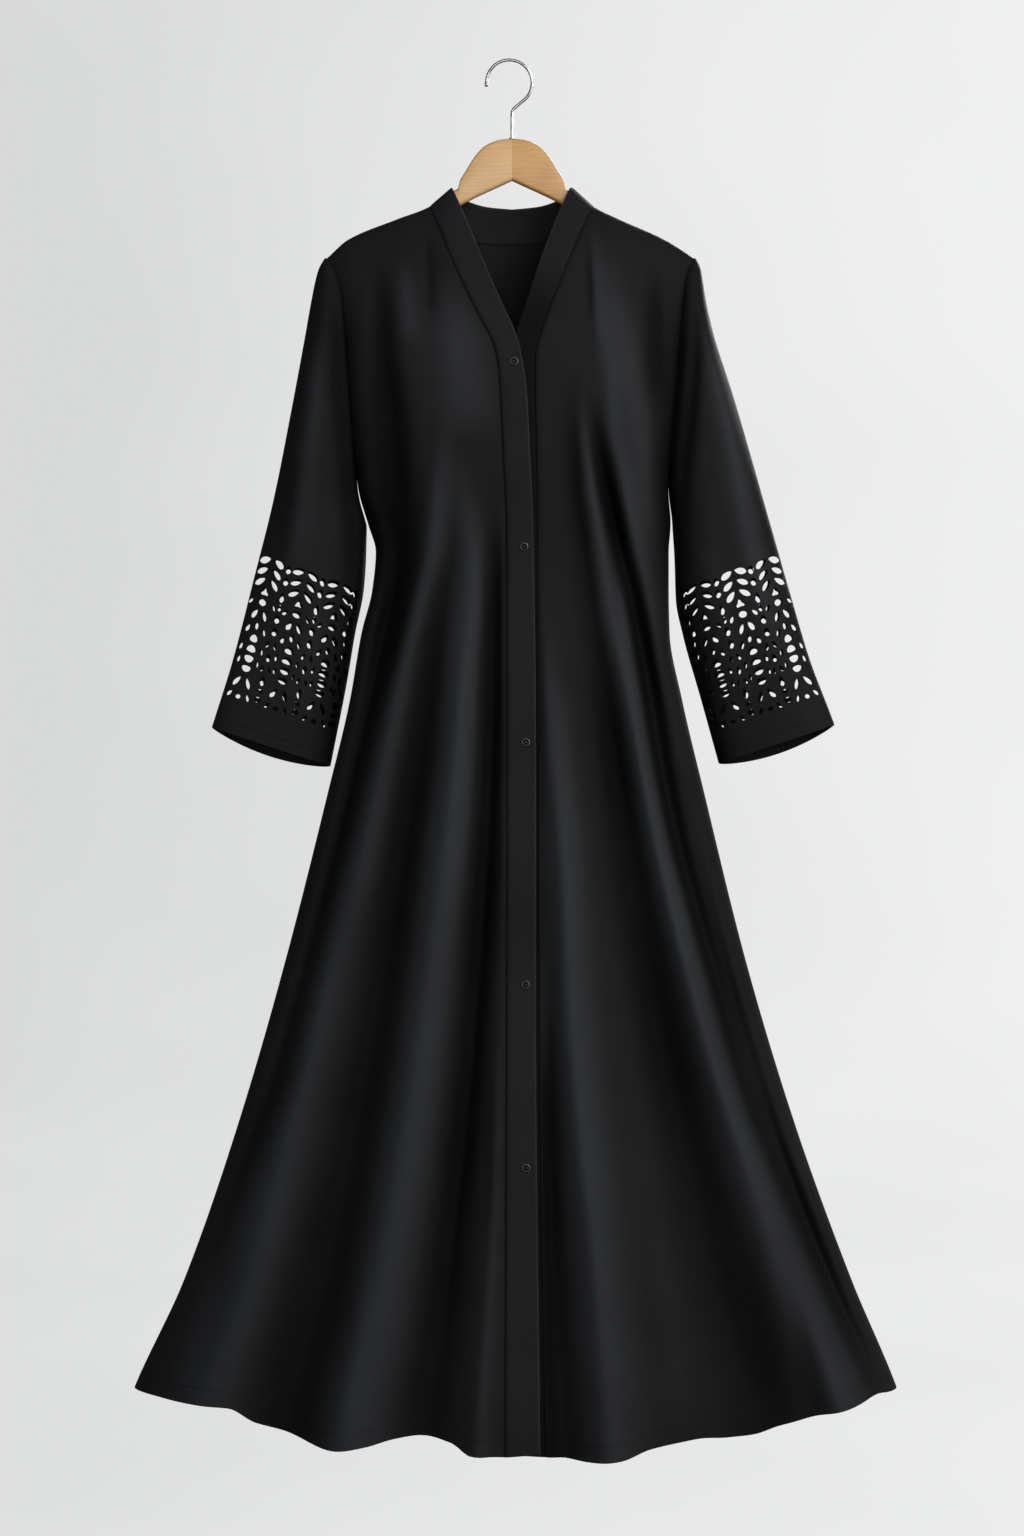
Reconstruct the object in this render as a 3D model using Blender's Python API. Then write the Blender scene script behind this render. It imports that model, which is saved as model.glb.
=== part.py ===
"""An open-front abaya cloak, black crepe, with leaf cutwork round its cuffs, on a wooden hanger.

Sizes here are millimetres and become metres as each mesh is made. +Z is up, the front faces -Y and
+X is the wearer's left. The origin is the top inside of the hook's loop, where the hanger rests.

Each cloth panel is a thin wall. Its middle surface is a depth over the front view: how far the
cloth stands off the plane of the hanger at a place (x, z). Panels that meet read the same depth, so
their edges lie side by side with only the seam's gap between them.
"""
import math
from collections import namedtuple

import bpy
import numpy as np
from mathutils.geometry import delaunay_2d_cdt

MM = 0.001
RIGHT, LEFT = "right", "left"
FRONT, BACK = -1, 1

# ---- cloth -----------------------------------------------------------------------------------
WALL = 1.6
BAND_WALL = 2.0
SEAM = 0.3
SLANT_SEAM = 0.18
ARMHOLE_SEAM = 1.1
UNDERARM_GAP = 3.2
UNDERARM_SPAN = 130.0
LAP = 1.25

# ---- levels (z) ------------------------------------------------------------------------------
TIP_Z = -221.0
UNDERARM_Z = -520.0
WAIST_Z = -790.0
HEM_FREE_Z = -1200.0
SIDE_HEM_Z = -1484.0
CENTRE_HEM_Z = -1541.0
HEM_SAG = 12.0
BACK_HEM_LIFT = 6.0
YOKE_END_Z = -385.0
LAP_START_Z = -215.0
LAP_FULL_Z = -300.0

# ---- body sections: outline at the wearer's right and left, half depth at front and back --------
Section = namedtuple("Section", "z right left front back")
SECTIONS = (
    Section(-221, -207, 203, 58, 54),
    Section(-243, -196, 194, 58, 54),
    Section(-270, -190, 190, 58, 54),
    Section(-380, -181, 181, 58, 54),
    Section(-480, -171, 174, 58, 54),
    Section(-520, -160, 177, 58, 54),
    Section(-549, -152, 175, 58, 54),
    Section(-592, -156, 175, 59, 54),
    Section(-640, -168, 176, 60, 55),
    Section(-715, -181, 190, 62, 57),
    Section(-816, -205, 214, 67, 61),
    Section(-1006, -253, 261, 84, 74),
    Section(-1186, -305, 315, 102, 90),
    Section(-1365, -367, 380, 115, 102),
    Section(-1484, -422, 430, 121, 108),
    Section(-1560, -450, 455, 123, 110),
)
SIDE_POWER = 2.6
SHOULDER_FALL = 280.0
ARMHOLE_OPENING = 0.16
ARMHOLE_RISE = 150.0

# ---- the line over the shoulders, which the cloth hangs from: x, z --------------------------------
CREST = (
    (-230, -240), (-207, -221), (-183, -200), (-129, -177.5), (-91.8, -163), (-67.2, -141.7),
    (-35, -131), (0, -128), (35, -131), (65, -141.7), (90.7, -163), (120, -177.5), (170, -200),
    (203, -221), (226, -240),
)
NECK_X = {RIGHT: -91.8, LEFT: 90.7}
CREST_EDGE = {RIGHT: -67.2, LEFT: 65.0}

# ---- seam between each front and its band: z, x ----------------------------------------------
FRONT_SEAM = {
    RIGHT: ((-163, -91.8), (-239.5, -61.2), (-292, -35.5), (-323, -19.9), (-349, -14.4),
            (-385, -12.1), (-437, -9.9), (-525, -6), (-783, -5.5), (-1560, -7.6)),
    LEFT: ((-163, 90.7), (-218, 66.8), (-279, 43.2), (-323, 28.8), (-341, 26.4),
           (-385, 26.5), (-496, 28.7), (-783, 29.2), (-1155, 30.7), (-1560, 37)),
}

# ---- free edge of each band beside that seam: seam z, edge x, edge z -----------------------------
BAND_EDGE = {
    RIGHT: ((-163, -67.2, -141.7), (-200, -49, -185), (-239.5, -31.8, -227.7), (-292, -9.7, -279.5),
            (-323, 4.4, -311), (-349, 11.1, -337), (-385, 16.8, -379), (-437, 19.6, -435),
            (-525, 23.5, -525), (-783, 26.4, -783), (-1046, 26.3, -1046), (-1541, 33.7, -1538)),
    LEFT: ((-163, 65, -141.7), (-190, 51.5, -174), (-218, 38.1, -208.2), (-279, 17.2, -270),
           (-323, 2.4, -315), (-341, -3, -336), (-385, -6, -385), (-496, -3, -496),
           (-783, 0, -783), (-1155, 0, -1155), (-1541, 2, -1539)),
}

# ---- back of the neck, the same on both sides: distance from the middle, seam z, edge x, edge z ---
BACK_NECK = (
    (0, -200.5, 0, -162), (30, -200, 28, -159.5), (58, -192, 50, -153.5), (78, -178, 61, -147.5),
    (88, -167.5, 65, -143.6), (91.8, -163, 67.2, -141.7),
)
NECK_COLUMNS = (88, 78, 58, 30, 0)

# ---- folds: place across the panel at waist and hem, z where it starts, breadth, rise at the hem --
Fold = namedtuple("Fold", "waist hem start breadth rise")
FOLDS = {
    "front_right": (
        Fold(0.03, 0.07, -1250, 0.035, 8),
        Fold(0.10, 0.21, -520, 0.070, -24),
        Fold(0.30, 0.41, -440, 0.100, 27),
        Fold(0.54, 0.56, -560, 0.090, -26),
        Fold(0.84, 0.80, -640, 0.095, 24),
    ),
    "front_left": (
        Fold(0.03, 0.05, -960, 0.040, -11),
        Fold(0.14, 0.22, -700, 0.090, 26),
        Fold(0.49, 0.58, -640, 0.105, -28),
        Fold(0.66, 0.82, -460, 0.085, 27),
        Fold(0.88, 0.94, -740, 0.030, -9),
    ),
    "back": (
        Fold(0.13, 0.11, -640, 0.045, 22),
        Fold(0.24, 0.20, -540, 0.040, -21),
        Fold(0.33, 0.29, -440, 0.048, 26),
        Fold(0.42, 0.39, -580, 0.045, -24),
        Fold(0.50, 0.49, -400, 0.050, 24),
        Fold(0.59, 0.60, -620, 0.045, -25),
        Fold(0.67, 0.70, -480, 0.048, 27),
        Fold(0.76, 0.80, -600, 0.040, -20),
        Fold(0.87, 0.89, -690, 0.045, 22),
    ),
}
FOLD_MARGIN = 0.05

# ---- sleeves: outer line and inner line below the underarm (z, x), half depth (z, depth) ----------
SLEEVE_OUTER = {
    RIGHT: ((-221, -209.5), (-233, -216), (-245, -219.5), (-267, -224), (-312, -232), (-401, -248.6),
            (-491, -266.6), (-581, -289), (-670, -312), (-747, -336), (-800, -352)),
    LEFT: ((-221, 205.5), (-233, 211), (-245, 213), (-267, 216.5), (-301, 224), (-379, 248.6),
           (-491, 281), (-603, 313), (-670, 333), (-744, 361), (-800, 379)),
}
SLEEVE_INNER = {
    RIGHT: ((-520, -163), (-558, -164), (-592, -166.5), (-640, -176), (-696, -185.5),
            (-755, -197), (-810, -208)),
    LEFT: ((-520, 180), (-558, 182.5), (-603, 184), (-643, 192), (-714, 212), (-788, 232.5),
           (-810, 238.5)),
}
SLEEVE_DEPTH = ((-520, 42), (-600, 38), (-700, 30), (-791, 23), (-810, 22.5))
SLEEVE_POWER = 2.2
UNDERARM_OUTER_Z = -480.0
CUFF_Z = {RIGHT: -789.0, LEFT: -786.0}
CUFF_OUTER_Z = {RIGHT: -746.0, LEFT: -743.0}
BACK_CUFF_DROP = 11.0
SLEEVE_SPAN = 130.0
SLEEVE_COLUMNS = (0, 0.015, 0.11, 0.34, 0.6, 0.86, 0.985, 1)
EDGE_COLUMNS = (0, 0.015, 0.985, 1)

# ---- mesh rows down the body and columns across a front -----------------------------------------
ROWS = (-221, -222.2, -226, -234, -248, -270, -300, -345, -385, -435, -480, -520, -550, -592, -640,
        -715, -816, -917, -1020, -1130, -1240, -1360, -1484)
FRONT_COLUMNS = (0, 0.04, 0.13, 0.23, 0.34, 0.45, 0.56, 0.68, 0.80, 0.90, 0.97, 1)
BACK_BUNCHING = 0.35

# ---- cutwork: leaf-shaped holes in six columns, wide sprigs and narrow stems by turns -------------
BAND_TOP = 590.0
CUT_COLUMNS = (0.135, 0.305, 0.47, 0.635, 0.80, 0.945)
Cut = namedtuple("Cut", "shape down aside length width lean")
SPRIG = (
    Cut("leaf", 7.5, 8.3, 13, 7.0, 66), Cut("leaf", 19.5, 8.4, 13.5, 6.0, 57),
    Cut("leaf", 31.5, 8.2, 14, 6.2, 50), Cut("bud", 41.5, 0, 8.5, 10, 0),
    Cut("seed", 53, 0, 9.5, 7, 90), Cut("leaf", 67, 5.6, 11, 5.4, 28),
    Cut("seed", 93, 0, 10.5, 8, 90), Cut("seed", 104.5, 0, 11.5, 8, 90),
    Cut("seed", 116, 0, 11.5, 7.6, 90), Cut("seed", 127, 0, 11, 6.6, 90),
    Cut("leaf", 142, 6.4, 12, 5.6, 30),
)
STEM = (
    Cut("seed", 10, 0, 9, 6.6, 0), Cut("seed", 23, 0, 9, 6.6, 0), Cut("seed", 41, 0, 11, 5.6, 0),
    Cut("seed", 65, 0, 9.5, 6.4, 0), Cut("seed", 79, 0, 9.5, 6.4, 0),
    Cut("seed", 134, 0, 11, 5.6, 0), Cut("seed", 155, 0, 8, 6, 90),
)
OUTLINES = {
    "leaf": ((0, 0.5), (0.5, 0.16), (0.5, -0.2), (0, -0.5), (-0.5, -0.2), (-0.5, 0.16)),
    "seed": ((0.25, 0.46), (0.5, 0), (0.25, -0.46), (-0.25, -0.46), (-0.5, 0), (-0.25, 0.46)),
    "bud": ((0, 0.5), (0.5, -0.42), (-0.5, -0.42)),
}
ABOVE_CUTWORK = (-555, -585)
BESIDE_CUTWORK = (-620, -660, -700, -740)
BELOW_CUTWORK = -768

# ---- fastenings on the overlapping band --------------------------------------------------------
BUTTON_LINE = 0.7
BUTTON_Z = (-342, -547, -763, -1029, -1228)
BUTTON_PROFILE = ((5.0, 0), (5.0, 1.4), (3.4, 1.9), (2.8, 0.9))
BUTTON_SIDES = 10
BUTTON_STATION = 1

# ---- hanger: two halves of a shaped wooden bar, top and bottom line (x, z), and its wire hook -----
HANGER_THICK = 12.0
HANGER_REACH = 186.0
HANGER_CLEAR = 1.2
HANGER_CLEAR_AT_NECK = 3.2
HANGER_END = 0.7
CROWN = ((0, -86.8), (14, -88), (29, -96), (44, -113), (58, -133))
UNDERSIDE = ((0, -133.8), (60, -163), (92, -187), (130, -203), (165, -216), (186, -223))
WIRE = 3.4
HOOK_RADIUS = 25.5
HOOK_CENTRE_X = -3.0
STEM_TOP_Z = -57.0
STEM_BEND = (1.2, -54.5)
LOOP_START, LOOP_END, LOOP_STEP = -62, 180, 15
TIP_DROP = 4.0


def smooth_line(rows):
    """Return a function that reads a smooth line through (key, value) rows without overshoot."""
    keys, values = np.array(sorted(rows), float).T
    steps = np.diff(keys)
    rises = np.diff(values) / steps
    slopes = np.concatenate(([rises[0]], np.zeros(len(rises) - 1), [rises[-1]]))
    for i in range(1, len(rises)):
        if rises[i - 1] * rises[i] > 0:
            slopes[i] = 2 * rises[i - 1] * rises[i] / (rises[i - 1] + rises[i])

    def read(at):
        at = np.clip(at, keys[0], keys[-1])
        i = np.clip(np.searchsorted(keys, at, side="right") - 1, 0, len(steps) - 1)
        t = (at - keys[i]) / steps[i]
        start = values[i] * (1 + 2 * t) + slopes[i] * steps[i] * t
        end = values[i + 1] * (3 - 2 * t) - slopes[i + 1] * steps[i] * (1 - t)
        return start * (1 - t) ** 2 + end * t ** 2

    return read


def column(name):
    return smooth_line([(row.z, getattr(row, name)) for row in SECTIONS])


side_x = {RIGHT: column("right"), LEFT: column("left")}
half_depth = {FRONT: column("front"), BACK: column("back")}
crest = smooth_line(CREST)
seam_x = {side: smooth_line(rows) for side, rows in FRONT_SEAM.items()}
outer_x = {side: smooth_line(rows) for side, rows in SLEEVE_OUTER.items()}
inner_x = {side: smooth_line(rows) for side, rows in SLEEVE_INNER.items()}
sleeve_depth = smooth_line(SLEEVE_DEPTH)
back_neck_z = smooth_line([(row[0], row[1]) for row in BACK_NECK])


def mix(a, b, t):
    return a + (b - a) * t


def ease(t):
    t = np.clip(t, 0, 1)
    return t * t * (3 - 2 * t)


# ---- the depth of the body -----------------------------------------------------------------------
def armhole_share(z):
    """How much of the side stays open for the sleeve: none below the underarm."""
    return ARMHOLE_OPENING * np.clip((z - UNDERARM_Z) / ARMHOLE_RISE, 0, 1)


def body_square(face):
    """Return the squared depth of the plain body, which passes through zero at its outline."""
    def square(x, z):
        centre = (side_x[RIGHT](z) + side_x[LEFT](z)) / 2
        half = (side_x[LEFT](z) - side_x[RIGHT](z)) / 2
        fallen = np.minimum((crest(x) - z) / SHOULDER_FALL, 1)
        over_shoulder = fallen * (2 - fallen)
        across = np.abs(x - centre) / half * (1 - armhole_share(z))
        return half_depth[face](z) ** 2 * over_shoulder * (1 - across ** SIDE_POWER)

    return square


def panel_share(panel, x, z):
    """Where a place lies across its panel: 0 at the front seam (or the right side), 1 at the side."""
    if panel == "back":
        return (x - side_x[RIGHT](z)) / (side_x[LEFT](z) - side_x[RIGHT](z))
    side = RIGHT if panel == "front_right" else LEFT
    return (x - seam_x[side](z)) / (side_x[side](z) - seam_x[side](z))


def fold_rise(panel, x, z):
    share = panel_share(panel, x, z)
    flat_edges = ease(share / FOLD_MARGIN) * ease((1 - share) / FOLD_MARGIN)
    fallen = np.clip((WAIST_Z - z) / (WAIST_Z - SIDE_HEM_Z), 0, 1)
    total = 0
    for fold in FOLDS[panel]:
        middle = mix(fold.waist, fold.hem, fallen)
        grown = np.clip((fold.start - z) / (fold.start - SIDE_HEM_Z), 0, 1) ** 0.8
        total = total + fold.rise * grown * np.exp(-((share - middle) / fold.breadth) ** 2)
    return total * flat_edges


def body_folds(face):
    panels = ("back",) if face == BACK else ("front_right", "front_left")
    return lambda x, z: sum(fold_rise(panel, x, z) for panel in panels)


# ---- the depth of a sleeve -----------------------------------------------------------------------
def sleeve_inner_x(side, z):
    outward = -1 if side == RIGHT else 1
    beside_body = side_x[side](z) + outward * ARMHOLE_SEAM
    near_underarm = ease((UNDERARM_Z + UNDERARM_SPAN - z) / UNDERARM_SPAN)
    beside_body = beside_body + outward * (UNDERARM_GAP - ARMHOLE_SEAM) * near_underarm
    return np.where(z > UNDERARM_Z, beside_body, inner_x[side](z))


def sleeve_square(side, face):
    """Return the squared depth of a sleeve, which meets the body's depth along the armhole."""
    body = body_square(face)

    def square(x, z):
        armhole = np.maximum(z, UNDERARM_Z)
        edge = np.maximum(body(side_x[side](armhole), armhole), 0) * (z > UNDERARM_Z)
        lowered = np.clip((TIP_Z - z) / (TIP_Z - UNDERARM_Z), 0, 1)
        deep = edge + np.where(z > UNDERARM_Z, lowered * sleeve_depth(UNDERARM_Z) ** 2,
                               sleeve_depth(z) ** 2)
        deep = np.maximum(deep, 1e-6)
        inner_share = np.clip(1 - edge / deep, 0, 1) ** (1 / SLEEVE_POWER)
        outer, inner = outer_x[side](z), sleeve_inner_x(side, z)
        across = -1 + (1 + inner_share) * (x - outer) / (inner - outer)
        return deep * (1 - np.abs(across) ** SLEEVE_POWER)

    return square


def no_folds(x, z):
    return 0 * x


# ---- from a place in the front view to the cloth --------------------------------------------------
def middle_surface(face, square, folds, x, z):
    """Points on the middle of the cloth, and the directions that face out of it there."""
    step = 0.05
    root = np.sqrt(np.maximum(square(x, z), 0))
    slope_x = (square(x + step, z) - square(x - step, z)) / (2 * step)
    slope_z = (square(x, z + step) - square(x, z - step)) / (2 * step)
    fold_x = (folds(x + step, z) - folds(x - step, z)) / (2 * step)
    fold_z = (folds(x, z + step) - folds(x, z - step)) / (2 * step)
    points = np.stack((x, face * (SEAM / 2 + root + folds(x, z)), z), axis=-1)
    out = np.stack((-(slope_x + 2 * root * fold_x), face * 2 * root, -(slope_z + 2 * root * fold_z)),
                   axis=-1)
    return points, out / np.linalg.norm(out, axis=-1, keepdims=True)


def body_surface(face, x, z):
    return middle_surface(face, body_square(face), body_folds(face), x, z)


# ---- making meshes -------------------------------------------------------------------------------
def grid_faces(rows, columns):
    """Triangles of a grid whose points are numbered along each row.

    The two sides of a wall share these diagonals, so that they stay its thickness apart.
    """
    corners = []
    for r in range(rows - 1):
        for c in range(columns - 1):
            first = r * columns + c
            below = first + columns
            corners += [(first, first + 1, below), (first + 1, below + 1, below)]
    return corners


def solid_object(name, points, faces, colour, roughness, metallic=0.0):
    """Make one closed object from millimetre points, turned so that its faces look out."""
    mesh = bpy.data.meshes.new(name)
    points = np.asarray(points, float)
    volume = sum(np.dot(points[f[0]], np.cross(points[f[i]], points[f[i + 1]]))
                 for f in faces for i in range(1, len(f) - 1))
    if volume < 0:
        faces = [tuple(reversed(f)) for f in faces]
    mesh.from_pydata((points * MM).tolist(), [], [tuple(int(i) for i in f) for f in faces])
    mesh.validate()
    thing = bpy.data.objects.new(name, mesh)
    bpy.context.scene.collection.objects.link(thing)
    thing.data.materials.append(finish(name, colour, roughness, metallic))
    return thing


def finish(name, colour, roughness, metallic):
    material = bpy.data.materials.new(name + "_finish")
    material.use_nodes = True
    shader = material.node_tree.nodes["Principled BSDF"]
    shader.inputs["Base Color"].default_value = (*colour, 1.0)
    shader.inputs["Roughness"].default_value = roughness
    shader.inputs["Metallic"].default_value = metallic
    return material


def cloth_wall(name, points, out, faces, thickness):
    """Give a sheet of points a thickness and close it along every free edge."""
    count = len(points)
    layers = np.concatenate((points + out * thickness / 2, points - out * thickness / 2))
    closed = [tuple(f) for f in faces]
    closed += [tuple(i + count for i in reversed(f)) for f in faces]
    edges = {(f[i], f[(i + 1) % len(f)]) for f in faces for i in range(len(f))}
    for a, b in sorted(edges):
        if (b, a) not in edges:
            closed.append((b, a, a + count, b + count))
    thing = solid_object(name, layers, closed, (0.012, 0.013, 0.015), 0.62)
    thing.data.shade_smooth()
    thing.data.set_sharp_from_angle(angle=math.radians(50))
    return thing


# ---- fronts and back ------------------------------------------------------------------------------
def row_fades(row):
    top = np.clip((row - YOKE_END_Z) / (TIP_Z - YOKE_END_Z), 0, 1)
    hem = np.clip((HEM_FREE_Z - row) / (HEM_FREE_Z - SIDE_HEM_Z), 0, 1)
    return top, hem


def front_place(side, share, row):
    """Place in the front view for a share across the front and a row, named by its z at the side."""
    top, hem = row_fades(row)
    seam_top = row + (crest(NECK_X[side]) - TIP_Z) * top + (CENTRE_HEM_Z - SIDE_HEM_Z) * hem
    shoulder = crest(mix(NECK_X[side], side_x[side](TIP_Z), share)) - TIP_Z
    drop = (CENTRE_HEM_Z - SIDE_HEM_Z) * (1 - share) - HEM_SAG * np.sin(math.pi * share)
    inward = SLANT_SEAM * (1 if side == LEFT else -1)
    x = mix(seam_x[side](seam_top) + inward, side_x[side](row), share)
    return x, row + shoulder * top + drop * hem


def make_front(side):
    share, row = np.meshgrid(FRONT_COLUMNS, ROWS)
    x, z = front_place(side, share.ravel(), row.ravel())
    points, out = body_surface(FRONT, x, z)
    return cloth_wall("front_" + side, points, out, grid_faces(len(ROWS), len(FRONT_COLUMNS)), WALL)


def back_columns():
    """Top x of each column of the back: the fronts' columns on the shoulders, the neck between."""
    right = [mix(NECK_X[RIGHT], side_x[RIGHT](TIP_Z), u) for u in reversed(FRONT_COLUMNS)]
    left = [mix(NECK_X[LEFT], side_x[LEFT](TIP_Z), u) for u in FRONT_COLUMNS]
    neck = [-x for x in NECK_COLUMNS] + list(reversed(NECK_COLUMNS[:-1]))
    return np.array(right + neck + left, float)


def back_top_z(x):
    return np.where((x > NECK_X[RIGHT]) & (x < NECK_X[LEFT]), back_neck_z(np.abs(x)), crest(x))


def make_back():
    tops = back_columns()
    right, left = side_x[RIGHT](TIP_Z), side_x[LEFT](TIP_Z)
    even = np.linspace(0, 1, len(tops))
    low_share = mix(even, (1 - np.cos(math.pi * even)) / 2, BACK_BUNCHING)
    top_share = (tops - right) / (left - right)
    share, row = np.meshgrid(np.arange(len(tops)), ROWS)
    share, row = share.ravel(), row.ravel()
    top, hem = row_fades(row)
    spread = ease((TIP_Z - row) / (TIP_Z - UNDERARM_Z))
    across = mix(top_share[share], low_share[share], spread)
    lift = (back_top_z(tops) - TIP_Z)[share]
    drop = (CENTRE_HEM_Z + BACK_HEM_LIFT - SIDE_HEM_Z) * np.sin(math.pi * across) ** 0.8
    x = mix(side_x[RIGHT](row), side_x[LEFT](row), across)
    points, out = body_surface(BACK, x, row + lift * top + drop * hem)
    return cloth_wall("back", points, out, grid_faces(len(ROWS), len(tops)), WALL)


# ---- neckband and placket ---------------------------------------------------------------------------
def band_stations(side):
    """Pairs of seam and edge places down the front, over the shoulder and round to the back."""
    edge_x = smooth_line([(row[0], row[1]) for row in BAND_EDGE[side]])
    edge_z = smooth_line([(row[0], row[2]) for row in BAND_EDGE[side]])
    outward = -1 if side == RIGHT else 1
    stations = []
    for row in reversed(ROWS):
        top, hem = row_fades(row)
        z = row + (crest(NECK_X[side]) - TIP_Z) * top + (CENTRE_HEM_Z - SIDE_HEM_Z) * hem
        seam = seam_x[side](z) - outward * SLANT_SEAM
        stations.append((FRONT, (float(seam), float(z)), (float(edge_x(z)), float(edge_z(z)))))
    for x, seam_z, free_x, free_z in reversed(BACK_NECK[:-1]):
        middle_gap = SEAM / 2 if x == 0 else 0
        seam = (outward * (x + middle_gap), seam_z + SEAM)
        stations.append((BACK, seam, (outward * (free_x + middle_gap), free_z)))
    return stations


def make_band(side):
    """The band is lapped where the fronts overlap: the right one outside, the left one inside."""
    shares = (0, BUTTON_LINE, 1)
    lapping = 1 if side == RIGHT else -1
    points, out = [], []
    for face, seam, edge in band_stations(side):
        x = np.array([mix(seam[0], edge[0], s) for s in shares])
        z = np.array([mix(seam[1], edge[1], s) for s in shares])
        place, normal = middle_surface(face, body_square(face), no_folds, x, z)
        lowered = ease((LAP_START_Z - z) / (LAP_START_Z - LAP_FULL_Z)) * (face == FRONT)
        on_crest = face == FRONT and seam[1] > crest(NECK_X[side]) - SEAM
        if on_crest:
            place[:, 1] = 0
        points.append(place + normal * (lapping * LAP * lowered)[:, None])
        out.append(normal)
    faces = grid_faces(len(points), len(shares))
    points, out = np.concatenate(points), np.concatenate(out)
    band = cloth_wall("band_" + side, points, out, faces, BAND_WALL)
    return band, points, out


# ---- sleeves with cutwork ----------------------------------------------------------------------------
def sleeve_place(side, across, row):
    """Place in the front view for a share across the sleeve and a row, named by its inner z."""
    above = TIP_Z + (row - TIP_Z) * (UNDERARM_OUTER_Z - TIP_Z) / (UNDERARM_Z - TIP_Z)
    slope = (CUFF_OUTER_Z[side] - UNDERARM_OUTER_Z) / (CUFF_Z[side] - UNDERARM_Z)
    below = UNDERARM_OUTER_Z + (row - UNDERARM_Z) * slope
    outer_z = np.where(row > UNDERARM_Z, above, below)
    x = mix(outer_x[side](outer_z), sleeve_inner_x(side, row), across)
    return x, mix(outer_z, row, across)


def sleeve_width(side, row):
    outer = sleeve_place(side, 0.0, row)
    inner = sleeve_place(side, 1.0, row)
    return float(math.hypot(outer[0] - inner[0], outer[1] - inner[1]))


def cut_outline(side, column_share, cut, mirrored):
    """Corners of one hole as (share across, row), from its size, lean and place in the band."""
    down = -BAND_TOP - cut.down
    width = sleeve_width(side, down)
    lean = math.radians(cut.lean) * mirrored
    corners = []
    for wide, tall in OUTLINES[cut.shape]:
        wide, tall = wide * cut.width, tall * cut.length
        along = wide * math.cos(lean) + tall * math.sin(lean)
        up = tall * math.cos(lean) - wide * math.sin(lean)
        corners.append((column_share + (along - cut.aside * mirrored) / width, down + up))
    return corners


def cutwork(side):
    holes = []
    for number, share in enumerate(CUT_COLUMNS):
        for cut in (STEM if number % 2 else SPRIG):
            for mirrored in ((1, -1) if cut.aside else (1,)):
                holes.append(cut_outline(side, share, cut, mirrored))
    return holes


def inside(corners, place):
    """Whether a place lies within a ring of corners."""
    hit = False
    for (ax, ay), (bx, by) in zip(corners, corners[1:] + corners[:1]):
        if (ay > place[1]) != (by > place[1]):
            hit ^= place[0] < ax + (bx - ax) * (place[1] - ay) / (by - ay)
    return hit


def sleeve_layout(side, face):
    """Lay out half a sleeve flat as triangles, with its holes left open."""
    drop = BACK_CUFF_DROP if face == BACK else 0.0
    rows = [row for row in ROWS if row >= UNDERARM_Z] + list(ABOVE_CUTWORK)
    cuff = [(s, CUFF_Z[side] - drop * math.sin(math.pi * s) ** 0.7) for s in SLEEVE_COLUMNS]
    places = [(s, row) for row in rows for s in SLEEVE_COLUMNS]
    places += [(s, row) for row in BESIDE_CUTWORK for s in EDGE_COLUMNS]
    places += [(s, BELOW_CUTWORK) for s in SLEEVE_COLUMNS[2:-2]] + cuff
    left_side = sorted({row for s, row in places if s == 0}, reverse=True)
    right_side = sorted({row for s, row in places if s == 1})
    top = [(s, rows[0]) for s in SLEEVE_COLUMNS[1:-1]]
    ring = [(0, row) for row in left_side] + cuff[1:-1] + [(1, row) for row in right_side]
    ring += list(reversed(top))
    index = {}
    for place in places:
        index.setdefault(place, len(index))
    edges = [(index[a], index[b]) for a, b in zip(ring, ring[1:] + ring[:1])]
    holes = cutwork(side)
    points = list(index)
    for hole in holes:
        first = len(points)
        points += hole
        edges += [(first + i, first + (i + 1) % len(hole)) for i in range(len(hole))]
    flat = [(s * SLEEVE_SPAN, row) for s, row in points]
    corners, _, triangles, *_ = delaunay_2d_cdt(flat, edges, [], 0, 1e-5)
    corners = [(c[0] / SLEEVE_SPAN, c[1]) for c in corners]
    kept = []
    for triangle in triangles:
        middle = np.mean([corners[i] for i in triangle], axis=0)
        if not any(inside(hole, middle) for hole in holes):
            kept.append(tuple(triangle))
    return np.array(corners, float), kept


def make_sleeve(side, face):
    name = "sleeve_{}_{}".format(side, "front" if face == FRONT else "back")
    places, triangles = sleeve_layout(side, face)
    x, z = sleeve_place(side, places[:, 0], places[:, 1])
    points, out = middle_surface(face, sleeve_square(side, face), no_folds, x, z)
    return cloth_wall(name, points, out, triangles, WALL)


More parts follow.
